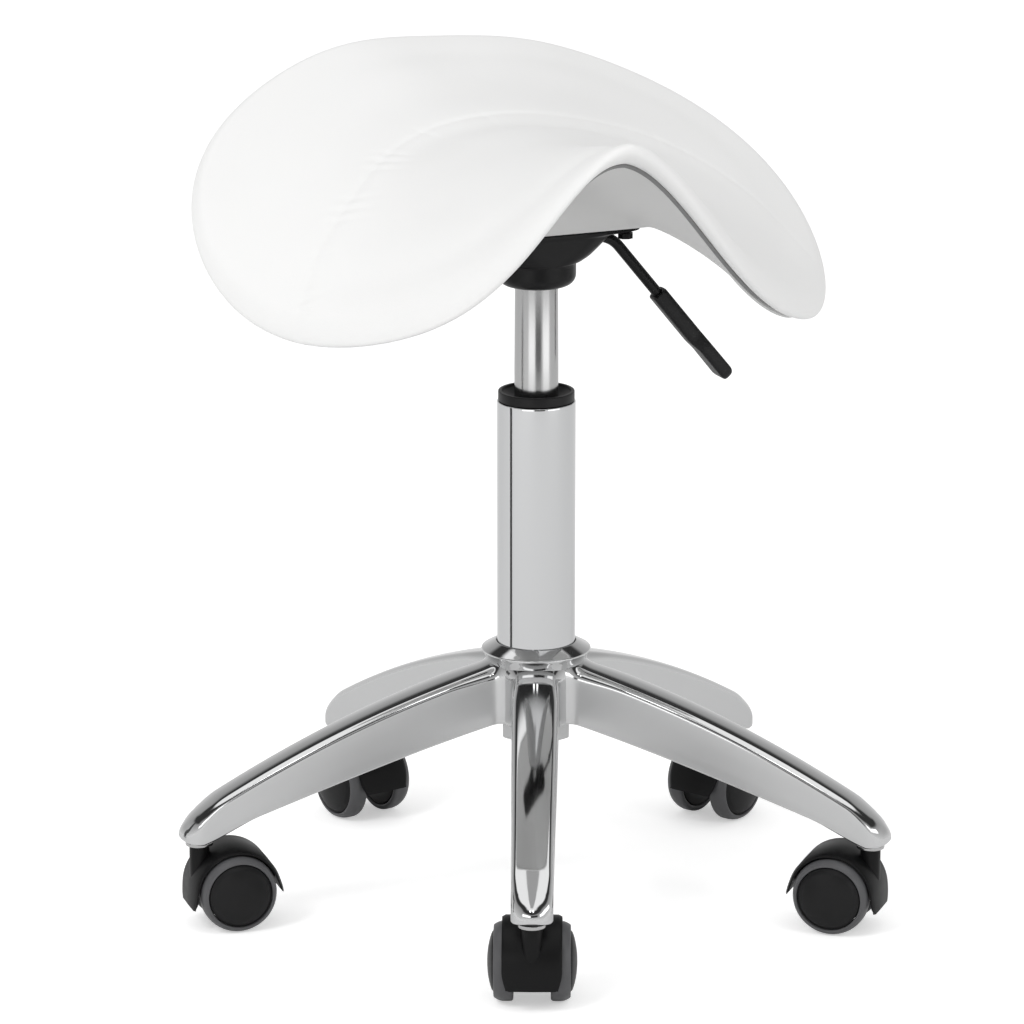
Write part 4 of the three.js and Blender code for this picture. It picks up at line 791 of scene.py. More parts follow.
def hub_shape():
    """A straight body, a cone out to a thin rim and a plain slope up to the column."""
    hole, socket = FOOT_TOP_RADIUS + FIT_GAP, COLUMN_RADIUS + FIT_GAP
    edge = HUB_RIM_EDGE / 2
    rim = HUB_RIM_HEIGHT + HUB_RIM_LIFT
    profile = [
        (hole, HUB_BODY_BOTTOM + HUB_FLOOR), (hole, HUB_BODY_BOTTOM),
        (HUB_SKIN_RADIUS, HUB_BODY_BOTTOM), (HUB_SKIN_RADIUS, HUB_SKIN_TOP),
        (HUB_RIM_RADIUS - edge, rim - 2 * edge), (HUB_RIM_RADIUS, rim - edge / 2),
        (HUB_RIM_RADIUS, rim + edge / 2), (HUB_RIM_RADIUS - edge, rim + edge),
        (socket, HUB_CROWN_LINE), (socket, HUB_SOCKET_FLOOR), (hole, HUB_SOCKET_FLOOR),
    ]
    return turned_ring(profile, edge)


def stub_shape():
    """The octagonal stub under the hub, open for the column's foot."""
    inner = FOOT_BOTTOM_RADIUS + FIT_GAP
    top = HUB_BODY_BOTTOM + HUB_STUB_CHAMFER
    profile = [(inner, HUB_STUB_BOTTOM), (HUB_STUB_RADIUS - HUB_STUB_CHAMFER, HUB_STUB_BOTTOM),
               (HUB_STUB_RADIUS, HUB_STUB_BOTTOM + HUB_STUB_CHAMFER), (HUB_STUB_RADIUS, top), (inner, top)]
    shape = turned(profile, HUB_STUB_SIDES, is_ring=True)
    return moved(shape, Matrix.Rotation(math.pi / HUB_STUB_SIDES, 4, "Z"))


# Column and lift

def column_tube():
    """The support rings near both ends keep the rounding there out of the long wall's shading."""
    inner, hole = COLUMN_RADIUS - COLUMN_WALL, ROD_TAIL_RADIUS + FIT_GAP
    floor = HUB_SOCKET_FLOOR + FIT_GAP
    profile = [
        (hole, FOOT_BOTTOM), (FOOT_BOTTOM_RADIUS, FOOT_BOTTOM), (FOOT_TOP_RADIUS, floor),
        (COLUMN_RADIUS - COLUMN_SHOULDER_DROP, floor), (COLUMN_RADIUS, floor + COLUMN_SHOULDER_DROP),
        (COLUMN_RADIUS, floor + COLUMN_SHOULDER_DROP + COLUMN_WALL),
        (COLUMN_RADIUS, COLUMN_TOP - COLUMN_WALL), (COLUMN_RADIUS, COLUMN_TOP), (inner, COLUMN_TOP),
        (inner, floor + COLUMN_SHOULDER_DROP + COLUMN_WALL),
        (FOOT_TOP_RADIUS - COLUMN_WALL, floor + COLUMN_WALL),
        (FOOT_BOTTOM_RADIUS - COLUMN_WALL, FOOT_BOTTOM + FOOT_PLATE), (hole, FOOT_BOTTOM + FOOT_PLATE),
    ]
    dress(mesh_piece("column_outer", *turned_ring(profile, COLUMN_EDGE), BASE_PLACE), "base", "column_tube")


def column_bush():
    inner = CYLINDER_RADIUS + FIT_GAP
    sleeve = COLUMN_RADIUS - COLUMN_WALL - FIT_GAP
    seat = COLUMN_TOP + FIT_GAP
    top = COLUMN_TOP + BUSH_COLLAR_HEIGHT
    profile = [
        (inner, COLUMN_TOP - BUSH_DEPTH), (sleeve, COLUMN_TOP - BUSH_DEPTH), (sleeve, seat),
        (BUSH_COLLAR_RADIUS, seat), (BUSH_COLLAR_RADIUS, top), (BUSH_DISH_OUTER, top),
        (BUSH_DISH_OUTER, top - BUSH_DISH_DEPTH), (inner, top - BUSH_FUNNEL_DEPTH),
    ]
    dress(mesh_piece("column_guide", *turned_ring(profile, BUSH_EDGE), BASE_PLACE), "base", "column_bush")


def gas_cylinder():
    inner = CYLINDER_RADIUS - CYLINDER_WALL
    hole = PIN_RADIUS + FIT_GAP
    profile = [
        (inner, CYLINDER_BOTTOM), (CYLINDER_RADIUS, CYLINDER_BOTTOM),
        (CYLINDER_RADIUS, CYLINDER_TOP - CYLINDER_TAPER), (CYLINDER_NECK_RADIUS, CYLINDER_TOP),
        (hole, CYLINDER_TOP), (hole, CYLINDER_TOP - VALVE_BLOCK),
        (inner, CYLINDER_TOP - VALVE_BLOCK - CYLINDER_WALL),
    ]
    cylinder = mesh_piece("lift_cylinder", *turned_ring(profile, CYLINDER_EDGE), SEAT_PLACE)
    dress(cylinder, "seat", "gas_cylinder")


# Seat mount

def squared(value):
    return math.copysign(abs(value) ** (2 / PLATE_SQUARENESS), value)


def mount_row(share, height, inset):
    """A level loop between the round cup and the plate's rounded rectangle."""
    row = []
    for i in range(ROUND):
        turn = 2 * math.pi * i / ROUND
        x = mix(CUP_RADIUS * math.cos(turn), PLATE_LENGTH / 2 * squared(math.cos(turn)), share)
        y = mix(CUP_RADIUS * math.sin(turn), PLATE_DEPTH / 2 * squared(math.sin(turn)), share)
        scale = 1 - inset / math.hypot(x, y)
        row.append((x * scale, y * scale, height))
    return row


def mount_tools(plate_top, floor):
    """The room in the bell, the cylinder's bore, the lever's slot and the screw holes."""
    room = [mount_row(0, CYLINDER_TOP, BELL_WALL)]
    for out, up in BELL_SHARES[1:]:
        room.append(mount_row(out, mix(floor, plate_top + FIT_GAP, up), BELL_WALL / 2))
    room.append(mount_row(BELL_SHARES[-1][0], plate_top + BELL_WALL, BELL_WALL / 2))
    below, above = MOUNT_BOTTOM - BELL_WALL, CYLINDER_TOP + CUT_OVERRUN
    bore = [(0, below), (CYLINDER_RADIUS + FIT_GAP, below), (CYLINDER_NECK_RADIUS + FIT_GAP, above),
            (0, above)]
    plate_bottom = plate_top - PLATE_THICKNESS
    low, high, half = plate_bottom - SLOT_HEIGHT, plate_bottom + SLOT_RELIEF, SLOT_WIDTH / 2
    slot = [[(x, -half, low), (x, half, low), (x, half, high), (x, -half, high)]
            for x in (SLOT_START, PLATE_LENGTH / 2)]
    tools = [skin(room), turned(bore, SMALL_ROUND), skin(slot)]
    hole = bore_shape(SCREW_RADIUS + FIT_GAP, plate_bottom - CUT_OVERRUN, plate_top + CUT_OVERRUN,
                      SCREW_SIDES)
    for x in (SCREW_SPACING / 2, -SCREW_SPACING / 2):
        for y in (SCREW_PITCH / 2, -SCREW_PITCH / 2):
            tools.append(moved(hole, Matrix.Translation((x, y, 0))))
    return tools


def seat_mount():
    plate_top = PAN_PAD_HEIGHT - FIT_GAP
    cup_top = MOUNT_BOTTOM + CUP_HEIGHT
    rise = plate_top - PLATE_THICKNESS - cup_top
    rows = []
    for turn in quarter(CUP_CORNER_STEPS):
        rows.append(mount_row(0, MOUNT_BOTTOM + CUP_CORNER * (1 - math.cos(turn)),
                              CUP_CORNER * (1 - math.sin(turn))))
    bell = [(0, MOUNT_BOTTOM + CUP_CORNER), (0, cup_top)]
    bell += [(out, cup_top + rise * up) for out, up in BELL_SHARES]
    bell += [(1, plate_top - PLATE_EDGE_THICKNESS)]
    scaled = [(share * PLATE_LENGTH / 2, height) for share, height in bell]
    for out, height in rounded(scaled, BELL_ROUNDING, steps=BELL_ROUNDING_STEPS)[1:]:
        rows.append(mount_row(out / (PLATE_LENGTH / 2), height, 0))
    rows.append(mount_row(1, plate_top - PLATE_EDGE, 0))
    rows.append(mount_row(1, plate_top, PLATE_EDGE))
    mount = mesh_piece("mount_casting", *skin(rows), SEAT_PLACE)
    tools = mount_tools(plate_top, cup_top + BELL_WALL)
    cut_away(mount, [mesh_piece("mount_cutter", *tool, SEAT_PLACE) for tool in tools])
    sharpen(mount.data, SHARP_ANGLE)
    dress(mount, "seat", "seat_mount")


# Lever

LEVER_DOWN = Vector((math.cos(LEVER_ANGLE), 0, -math.sin(LEVER_ANGLE)))
LEVER_OUTWARD = Vector((LEVER_RUN, 0, -LEVER_SAG)).normalized()
LEVER_KNEE = Vector((LEVER_RUN, 0, LEVER_HEIGHT - LEVER_SAG))
LEVER_CORNER = LEVER_KNEE + LEVER_OUTWARD * LEVER_BEND
LEVER_BELOW = LEVER_CORNER + LEVER_DOWN * LEVER_BEND


def lever_points():
    """The lever's centre line: a sloping run, a bend and the straight stem."""
    start = Vector((0, 0, LEVER_HEIGHT)) - LEVER_OUTWARD * LEVER_INNER_END
    points = [start.lerp(LEVER_KNEE, i / LEVER_STEPS) for i in range(LEVER_STEPS + 1)]
    for i in range(1, LEVER_BEND_STEPS + 1):
        t = i / LEVER_BEND_STEPS
        points.append(LEVER_KNEE * (1 - t) ** 2 + LEVER_CORNER * (2 * t * (1 - t)) + LEVER_BELOW * t ** 2)
    points += [LEVER_BELOW + LEVER_DOWN * (LEVER_STEM * i / LEVER_STEPS) for i in range(1, LEVER_STEPS + 1)]
    return points


def tube(points, radius, sides=BORE_SIDES, is_closed=False):
    """A round tube along points that lie in or near the seat's upright plane."""
    rows = []
    count = len(points)
    for i, point in enumerate(points):
        before = points[i - 1] if i or is_closed else points[0]
        after = points[(i + 1) % count] if i + 1 < count or is_closed else points[-1]
        along = (after - before).normalized()
        across = along.cross(Vector((0, 0, 1))).normalized()
        upward = across.cross(along)
        row = []
        for j in range(sides):
            turn = 2 * math.pi * j / sides
            out = across * math.cos(turn) + upward * math.sin(turn)
            row.append(tuple(point + out * radius))
        rows.append(row)
    return skin(rows, is_ring=is_closed)


def lever_rod():
    dress(mesh_piece("lever_bar", *tube(lever_points(), LEVER_RADIUS), SEAT_PLACE), "lever", "lever_rod")


def grip_row(along, width, thickness, lift, corner):
    """One cross-section of the grip, an oblong with round corners."""
    half, low, high = width / 2, -thickness / 2 + lift, thickness / 2 + lift
    outline = [(-half, low), (half, low), (half, high), (-half, high)]
    return [(along, y, z) for y, z in rounded(outline, corner, is_closed=True, steps=GRIP_CORNER_STEPS)]


def lever_grip():
    """A barrel that steps up on its underside into a flat paddle."""
    paddle_lift = (GRIP_STEP - (GRIP_THICKNESS - GRIP_PADDLE_THICKNESS)) / 2
    rows = []
    for turn in quarter(GRIP_EDGE_STEPS):
        shrink = GRIP_EDGE / 2 * (1 - math.sin(turn))
        rows.append(grip_row(GRIP_EDGE / 2 * (1 - math.cos(turn)), GRIP_WIDTH - 2 * shrink,
                             GRIP_THICKNESS - 2 * shrink, 0, GRIP_BARREL_EDGE))
    barrel, neck = GRIP_LENGTH * GRIP_BARREL_SHARE, GRIP_LENGTH * GRIP_NECK_SHARE
    for i in range(GRIP_NECK_STEPS + 1):
        along = i / GRIP_NECK_STEPS
        share = float(smooth_step(0, 1, along))
        rows.append(grip_row(mix(barrel, neck, along), mix(GRIP_WIDTH, GRIP_PADDLE_WIDTH, share),
                             mix(GRIP_THICKNESS, GRIP_PADDLE_THICKNESS, share), paddle_lift * share,
                             GRIP_BARREL_EDGE))
    end = GRIP_LENGTH - GRIP_PADDLE_WIDTH / 3
    for turn in quarter(GRIP_END_STEPS)[:-1]:
        along = end + (GRIP_LENGTH - end) * math.sin(turn)
        width = GRIP_PADDLE_WIDTH * mix(GRIP_END_WIDTH_SHARE, 1, math.cos(turn))
        thickness = GRIP_PADDLE_THICKNESS * mix(GRIP_END_THICKNESS_SHARE, 1, math.cos(turn))
        rows.append(grip_row(along, width, thickness, paddle_lift * math.cos(turn), GRIP_EDGE))
    root = LEVER_BELOW + LEVER_DOWN * (LEVER_STEM - GRIP_OVERLAP)
    place = SEAT_PLACE @ Matrix.Translation(root) @ Matrix.Rotation(LEVER_ANGLE, 4, "Y")
    grip = mesh_piece("lever_handle", *skin(rows), place)
    socket = bore_shape(LEVER_RADIUS + FIT_GAP, -CUT_OVERRUN, GRIP_OVERLAP + FIT_GAP)
    cut_away(grip, [mesh_piece("grip_cutter", *moved(socket, Matrix.Rotation(math.pi / 2, 4, "Y")), place)])
    sharpen(grip.data, SHARP_ANGLE)
    dress(grip, "lever", "lever_grip")


# Casters. Each is built about its stem, with +X pointing away from the column.

ABOUT_AXLE = Matrix.Translation((-CASTER_TRAIL, 0, WHEEL_CENTRE)) @ Matrix.Rotation(math.pi / 2, 4, "X")


def hood_shell():
    """The arched shell: an oblong section carried round the axle, drawn to a fang at each end."""
    rows = []
    for i in range(HOOD_STEPS + 1):
        angle = mix(HOOD_OUTER_ANGLE, HOOD_INNER_ANGLE, i / HOOD_STEPS)
        end = min(angle - HOOD_OUTER_ANGLE, HOOD_INNER_ANGLE - angle)
        taper = math.sin(min(end / HOOD_FANG_ANGLE, 1) * math.pi / 2)
        wall = min(HOOD_WALL, HOOD_TIP_WALL + end * HOOD_RADIUS / 2)
        half = HOOD_WIDTH / 2 - HOOD_FANG_PINCH * (1 - taper)
        outer = HOOD_RADIUS + HOOD_FLARE * (1 - taper)
        inner = outer - wall
        right = [(inner, half - HOOD_LIP), (inner, half), (outer - HOOD_SHOULDER_HEIGHT, half),
                 (outer, half - HOOD_SHOULDER_WIDTH)]
        left = [(radius, -across) for radius, across in reversed(right)]
        edge = left[-1:] + right + [(outer + HOOD_CROWN, 0)] + left[:-1]
        ahead, upward = math.cos(angle), math.sin(angle)
        rows.append([(radius * ahead, radius * upward, across) for radius, across in edge])
    return moved(skin(rows), ABOUT_AXLE)


def hood_web():
    """The plate between the wheels that carries the axle's boss."""
    radius = HOOD_RADIUS - HOOD_WALL / 2
    outline = [(0, 0)]
    for i in range(HOOD_WEB_STEPS + 1):
        angle = mix(HOOD_WEB_ANGLE, math.pi - HOOD_WEB_ANGLE, i / HOOD_WEB_STEPS)
        outline.append((radius * math.cos(angle), radius * math.sin(angle)))
    rows = [[(x, y, z) for x, y in outline] for z in (-HOOD_WEB / 2, HOOD_WEB / 2)]
    return moved(skin(rows), ABOUT_AXLE)


def hood_boss():
    half = TREAD_INNER_FACE - FIT_GAP
    bore = AXLE_RADIUS + FIT_GAP
    profile = [(bore, -half), (HOOD_BOSS_RADIUS, -half), (HOOD_BOSS_RADIUS, half), (bore, half)]
    return moved(turned_ring(profile, BOSS_EDGE, SMALL_ROUND), ABOUT_AXLE)


def hood_socket():
    """The upright tube that takes the stem."""
    bore = STEM_NECK_RADIUS + FIT_GAP
    bottom = STEM_SOCKET_TOP - STEM_SOCKET_DEPTH - HOOD_WALL
    profile = [(0, bottom), (STEM_SOCKET_RADIUS, bottom), (STEM_SOCKET_RADIUS, STEM_SOCKET_TOP),
               (bore, STEM_SOCKET_TOP), (bore, STEM_SOCKET_TOP - STEM_SOCKET_DEPTH),
               (0, STEM_SOCKET_TOP - STEM_SOCKET_DEPTH)]
    return turned(rounded(profile, SOCKET_EDGE), SMALL_ROUND)


def wheel_core():
    rim = TREAD_RADIUS - TREAD_DEPTH - FIT_GAP
    inner, outer = TREAD_INNER_FACE + FIT_GAP, TREAD_INNER_FACE + TREAD_WIDTH
    bore, bore_end = AXLE_RADIUS + FIT_GAP, AXLE_LENGTH / 2 + FIT_GAP
    profile = [(0, bore_end), (bore, bore_end), (bore, inner), (rim, inner), (rim, outer - WHEEL_GROOVE),
               (rim - WHEEL_GROOVE, outer - WHEEL_GROOVE / 2)]
    cap_radius = rim - WHEEL_GROOVE
    for i in range(1, WHEEL_CAP_STEPS + 1):
        out = 1 - i / WHEEL_CAP_STEPS
        profile.append((cap_radius * out, outer + WHEEL_DOME * (1 - out ** 2) ** WHEEL_CAP_POWER))
    return turned(rounded(profile, WHEEL_EDGE))


def wheel_tread():
    bead = TREAD_RADIUS - TREAD_DEPTH
    inner, outer = TREAD_INNER_FACE, TREAD_INNER_FACE + TREAD_WIDTH
    shoulder = TREAD_DEPTH / 2
    profile = [(bead, inner), (WHEEL_CENTRE, inner), (WHEEL_CENTRE, outer - 2 * shoulder),
               (WHEEL_CENTRE - shoulder, outer), (bead, outer)]
    return turned_ring(profile, TREAD_EDGE, steps=TREAD_EDGE_STEPS)


def caster_stem():
    seat, flange = STEM_SOCKET_TOP + FIT_GAP, LEG_TIP_BOTTOM - FIT_GAP
    top = LEG_TIP_BOTTOM + STEM_HEIGHT
    bottom = seat - STEM_SOCKET_DEPTH + FIT_GAP
    profile = [(0, bottom), (STEM_NECK_RADIUS, bottom), (STEM_NECK_RADIUS, seat),
               (STEM_FLANGE_RADIUS, seat), (STEM_FLANGE_RADIUS, flange), (STEM_RADIUS, flange),
               (STEM_RADIUS, top), (0, top)]
    return turned(rounded(profile, STEM_EDGE), SMALL_ROUND)


def add_caster(number, turn):
    place = BASE_PLACE @ Matrix.Rotation(turn, 4, "Z") @ Matrix.Translation((LEG_REACH, 0, 0))
    stem = mesh_piece(f"stem_{number}", *caster_stem(), place)
    dress(stem, "base", f"caster_stem_{number}")
    shape = merged(hood_shell(), hood_web(), hood_boss(), hood_socket())
    hood = mesh_piece(f"hood_{number}", *shape, place)
    dress(hood, f"caster_{number}", f"caster_hood_{number}")
    for side, facing in (("a", Matrix.Identity(4)), ("b", Matrix.Rotation(math.pi, 4, "X"))):
        wheel_place = place @ ABOUT_AXLE @ facing
        core = mesh_piece(f"wheel_{number}{side}", *wheel_core(), wheel_place)
        dress(core, f"wheel_{number}{side}", f"caster_wheel_{number}{side}")
        tread = mesh_piece(f"tread_{number}{side}", *wheel_tread(), wheel_place)
        dress(tread, f"wheel_{number}{side}", f"caster_tread_{number}{side}")


# Saddle surface, in the seat's own frame: x to the side, -y to the front

def wave(turn):
    value = np.ones_like(turn)
    for i, share in enumerate(OUTLINE_WAVE_SHARES):
        value = value + share * np.cos((i + 1) * turn)
    return value


SWEEP = np.linspace(0, math.pi, 721)
FRONT_SCALE = SEAT_LENGTH / (wave(SWEEP)[0] + wave(SWEEP)[-1])
SIDE_SCALE = SEAT_WIDTH / np.max(2 * wave(SWEEP) * np.sin(SWEEP))
FRONT_REACH = FRONT_SCALE * wave(SWEEP)[0] - SEAT_SETBACK
REAR_REACH = FRONT_SCALE * wave(SWEEP)[-1] + SEAT_SETBACK


def outline_point(turn, inset):
    """Front and side places on the outline, and their distance from its centre."""
    front = FRONT_SCALE * wave(turn) * np.cos(turn)
    side = SIDE_SCALE * wave(turn) * np.sin(turn)
    length = np.hypot(front, side)
    keep = (length - inset) / length
    return front * keep - SEAT_SETBACK, side * keep, length - inset


def drawn_in(front, side, share):
    """Places brought towards the outline's centre."""
    return (front + SEAT_SETBACK) * share - SEAT_SETBACK, side * share


def saddle_top(front, side):
    rise = np.where(front > 0, SADDLE_FRONT_RISE * (front / FRONT_REACH) ** 2,
                    SADDLE_REAR_RISE * (front / REAR_REACH) ** 2)
    along = front / (SEAT_LENGTH / 2)
    rear, middle, steep = FLANK_REAR_SHARE, FLANK_MIDDLE_SHARE, FLANK_FRONT_SHARE
    slope = middle + (steep - rear) / 2 * along + ((steep + rear) / 2 - middle) * along ** 2
    ridge = mix(RIDGE_RADIUS_REAR, RIDGE_RADIUS_FRONT, (along + 1) / 2)
    flank = slope * (np.hypot(side, ridge) - ridge)
    ahead, across = (front + SEAT_SETBACK) / FRONT_SCALE, side / SIDE_SCALE
    turn = np.arctan2(across, ahead)
    share = np.hypot(ahead, across) / wave(turn)
    nearness = np.exp(-((np.abs(turn) - SHOULDER_ANGLE) / SHOULDER_SPREAD_ANGLE) ** 2)
    shoulder = SHOULDER_DROP * nearness * share ** SHOULDER_POWER
    return SADDLE_DIP + rise - flank - LEAN_SHARE * side - shoulder


def edge_thickness(turn):
    """The padding's thickness at the rim, less where the left edge is thin and beside the nose."""
    thinning = np.clip(-np.sin(turn), 0, 1) ** 2
    centred = (turn + math.pi) % (2 * math.pi) - math.pi
    beside = np.exp(-((centred - ARCH_TURN) / ARCH_SPREAD) ** 2)
    full = CUSHION_EDGE_END + (CUSHION_EDGE_SIDE - CUSHION_EDGE_END) * np.sin(turn) ** 2
    return full - COVER_EDGE_LIFT * thinning - ARCH_LIFT * beside


def pan_lip(turn):
    return PAN_LIP * np.abs(np.sin(turn))


def pan_depth(turn, out):
    """Places between the pan's flat pad and its rim, with the depth below the saddle."""
    rim_front, rim_side, length = outline_point(turn, PAN_INSET)
    ahead = np.abs(rim_front + SEAT_SETBACK) / length / (PAN_PAD_DEPTH / 2)
    across = np.abs(rim_side) / length / (PAN_PAD_LENGTH / 2)
    pad = (ahead ** PAN_PAD_SQUARENESS + across ** PAN_PAD_SQUARENESS) ** (-1 / PAN_PAD_SQUARENESS)
    depth_at_pad = saddle_top(*drawn_in(rim_front, rim_side, pad / length)) - PAN_PAD_HEIGHT
    thinned = mix(out ** PAN_DEPTH_POWER, 1 - np.exp(-out / PAN_EARLY_REACH), PAN_EARLY_SHARE)
    depth = mix(depth_at_pad, edge_thickness(turn) + pan_lip(turn), thinned)
    return *drawn_in(rim_front, rim_side, mix(pad / length, 1, out)), depth


def pan_ring(turn, out, is_top):
    """One ring of the pan's underside or of its top. Below zero, out runs in over the flat pad."""
    front, side, depth = pan_depth(turn, max(out, 0))
    bottom = saddle_top(front, side) - depth
    if out < 0:
        front, side = drawn_in(front, side, 1 + out)
        bottom = np.full_like(front, PAN_PAD_HEIGHT)
    if is_top:
        return front, side, bottom + mix(PAN_THICKNESS, PAN_EDGE_THICKNESS + pan_lip(turn), max(out, 0))
    return front, side, bottom


def ring_rows(rows):
    """Rows of (front, side, height) arrays as rows of points."""
    return [[(s, -f, z) for f, s, z in zip(front, side, height)] for front, side, height in rows]


def seat_pan():
    turn = np.linspace(0, 2 * math.pi, PAN_TURNS, endpoint=False)
    rows = [pan_ring(turn, out, is_top=False) for out in PAN_RING_SHARES]
    bottom = pan_ring(turn, 1, is_top=False)[2]
    top = pan_ring(turn, 1, is_top=True)[2]
    for i in range(PAN_EDGE_STEPS + 1):
        angle = mix(-math.pi / 2, math.pi / 2, i / PAN_EDGE_STEPS)
        front, side, _ = outline_point(turn, PAN_INSET + PAN_EDGE_CORNER * (1 - math.cos(angle)))
        low = bottom + PAN_EDGE_CORNER * (1 + math.sin(angle))
        high = top - PAN_EDGE_CORNER * (1 - math.sin(angle))
        rows.append((front, side, low if i < PAN_EDGE_STEPS / 2 else high))
    rows += [pan_ring(turn, out, is_top=True) for out in reversed(PAN_RING_SHARES)]
    pan = mesh_piece("saddle_pan", *skin(ring_rows(rows)), SEAT_PLACE)
    return dress(pan, "seat", "seat_pan")


def seam_line():
    """The seam's places, smoothed and a millimetre apart."""
    places = np.array(SEAM_PLACES, float)
    chords = np.concatenate([[0], np.cumsum(np.hypot(*np.diff(places, axis=0).T))])
    even = np.arange(0, chords[-1], 1.0)
    raw = np.stack([np.interp(even, chords, places[:, i]) for i in range(2)], axis=1)
    kernel = np.hanning(2 * SEAM_SMOOTHING + 1)
    kernel /= kernel.sum()
    padded = np.pad(raw, ((SEAM_SMOOTHING, SEAM_SMOOTHING), (0, 0)), mode="reflect", reflect_type="odd")
    return np.stack([np.convolve(padded[:, i], kernel, mode="valid") for i in range(2)], axis=1)


def seam_reach(front, side):
    """Signed distance from the seam, positive to the front, and the distance along it."""
    line = seam_line()
    direction = np.gradient(line, axis=0)
    direction /= np.linalg.norm(direction, axis=1)[:, None]
    flat = np.stack([np.ravel(side), np.ravel(front)], axis=1)
    nearest = np.empty(len(flat), int)
    for start in range(0, len(flat), SEAM_BATCH):
        part = flat[start:start + SEAM_BATCH]
        gaps = ((part[:, None, :] - line[None, :, :]) ** 2).sum(axis=2)
        nearest[start:start + SEAM_BATCH] = gaps.argmin(axis=1)
    offset = flat - line[nearest]
    across = offset[:, 1] * direction[nearest, 0] - offset[:, 0] * direction[nearest, 1]
    beyond = np.linalg.norm(offset, axis=1)
    signed = np.where(across < 0, -beyond, beyond)
    return signed.reshape(np.shape(front)), nearest.astype(float).reshape(np.shape(front))


def cover_relief(front, side, inset, turn):
    """Heights that the stitching adds to the padding: seam, puckers, valley and rolled rim."""
    away, along = seam_reach(front, side)
    fade = np.exp(-(along / SEAM_FADE) ** 2) + np.exp(-((along - along.max()) / SEAM_FADE) ** 2)
    relief = -SEAM_DEPTH * np.exp(-(away / SEAM_WIDTH) ** 2)
    relief -= SEAM_DEPTH / 3 * np.exp(-((away - SEAM_STITCH) / (SEAM_WIDTH / 2)) ** 2)
    middle = np.exp(-(((along - VALLEY_PLACE) / VALLEY_SPREAD) ** 2))
    relief -= VALLEY_DEPTH * middle * np.exp(-((away - VALLEY_AHEAD) / VALLEY_WIDTH) ** 2)
    near = np.exp(-(away / np.where(away > 0, PUCKER_FRONT_LENGTH, PUCKER_LENGTH)) ** 2)
    for place, strength in PUCKER_PLACES:
        beside = along - place - PUCKER_LEAN * away
        fold = np.exp(-(beside / PUCKER_WIDTH) ** 2)
        bulge = np.exp(-((beside - PUCKER_BULGE_PLACE) / PUCKER_BULGE_WIDTH) ** 2)
        relief += PUCKER_HEIGHT * strength * near * (PUCKER_BULGE_SHARE * bulge - fold)
    nose = np.clip(np.cos(turn), 0, 1) ** 0.5
    right = np.clip(np.sin(turn), 0, 1)
    flank = ROLL_BASE_SHARE + ROLL_NOSE_SHARE * nose + ROLL_RIGHT_SHARE * right * nose
    relief += ROLL_RIDGE_HEIGHT * flank * np.exp(-((inset - ROLL_RIDGE_INSET) / ROLL_WIDTH) ** 2)
    relief -= ROLL_VALLEY_DEPTH * flank * np.exp(-((inset - ROLL_VALLEY_INSET) / ROLL_WIDTH) ** 2)
    return relief * (1 - SEAM_FADE_SHARE * fade)


def cushion_rows():
    turn = np.linspace(0, 2 * math.pi, COVER_TURNS, endpoint=False)
    inner_front, inner_side, inner_length = outline_point(turn, CUSHION_ROLL)
    rows = []
    for i in range(COVER_ROWS):
        share = 1 - (1 - (i + COVER_FIRST_ROW) / COVER_ROWS) ** COVER_ROW_POWER
        front, side = drawn_in(inner_front, inner_side, share)
        inset = CUSHION_ROLL + inner_length * (1 - share)
        rows.append((front, side, cover_height(front, side, inset, turn)))
    thickness = edge_thickness(turn)
    for i in range(COVER_ROLL_STEPS + 1):
        angle = mix(math.pi / 2, -math.pi / 2, i / COVER_ROLL_STEPS)
        inset = CUSHION_ROLL * (1 - math.cos(angle))
        front, side, _ = outline_point(turn, inset)
        under = (1 - math.sin(angle)) / 2
        top = saddle_top(front, side)
        lifted = cover_height(front, side, inset, turn) - top
        rows.append((front, side, top + lifted * mix(1, COVER_UNDER_SHARE, under) - thickness * under))
    lip_front, lip_side, _ = outline_point(turn, PAN_INSET - FIT_GAP)
    rows.append((lip_front, lip_side, saddle_top(lip_front, lip_side) - thickness))
    front, side, height = pan_ring(turn, 1, is_top=True)
    rows.append((front, side, height + 2 * FIT_GAP))
    for out in COVER_FLOOR_SHARES:
        front, side, height = pan_ring(turn, out, is_top=True)
        rows.append((front, side, height + FIT_GAP))
    return rows


def cover_height(front, side, inset, turn):
    swell = COVER_SWELL * smooth_step(0, COVER_SWELL_LENGTH, inset) + COVER_RIM_SWELL
    nose = np.exp(-(side / NOSE_WIDTH) ** 2 - ((FRONT_REACH - front) / NOSE_LENGTH) ** 2)
    shape = swell - NOSE_DROP * nose + cover_relief(front, side, inset, turn)
    for lift, place, spread in REAR_SHOULDERS:
        shape += lift * np.exp(-((turn - math.pi - place) / spread) ** 2 - (inset / REAR_FADE) ** 2)
    return saddle_top(front, side) + shape


def seat_cushion():
    cushion = mesh_piece("saddle_cover", *skin(ring_rows(cushion_rows())), SEAT_PLACE,
                         COVER_SHARP_ANGLE)
    dress(cushion, "seat", "seat_cushion")
    return cushion


def cushion_welt():
    """The piping that closes the gap between the cover and the pan, coloured dark grey as painted shade in
    that gap.
    """
    turn = np.linspace(0, 2 * math.pi, COVER_TURNS, endpoint=False)
    front, side, _ = outline_point(turn, WELT_INSET)
    height = saddle_top(front, side) - edge_thickness(turn) - WELT_SINK
    points = [Vector(point) for point in ring_rows([(front, side, height)])[0]]
    welt = mesh_piece("cover_welt", *tube(points, WELT_RADIUS, WELT_SIDES, is_closed=True), SEAT_PLACE)
    welt.data.materials.append(WELT_PAINTED_GAP_SHADE)
    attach(welt, "seat")


# Build

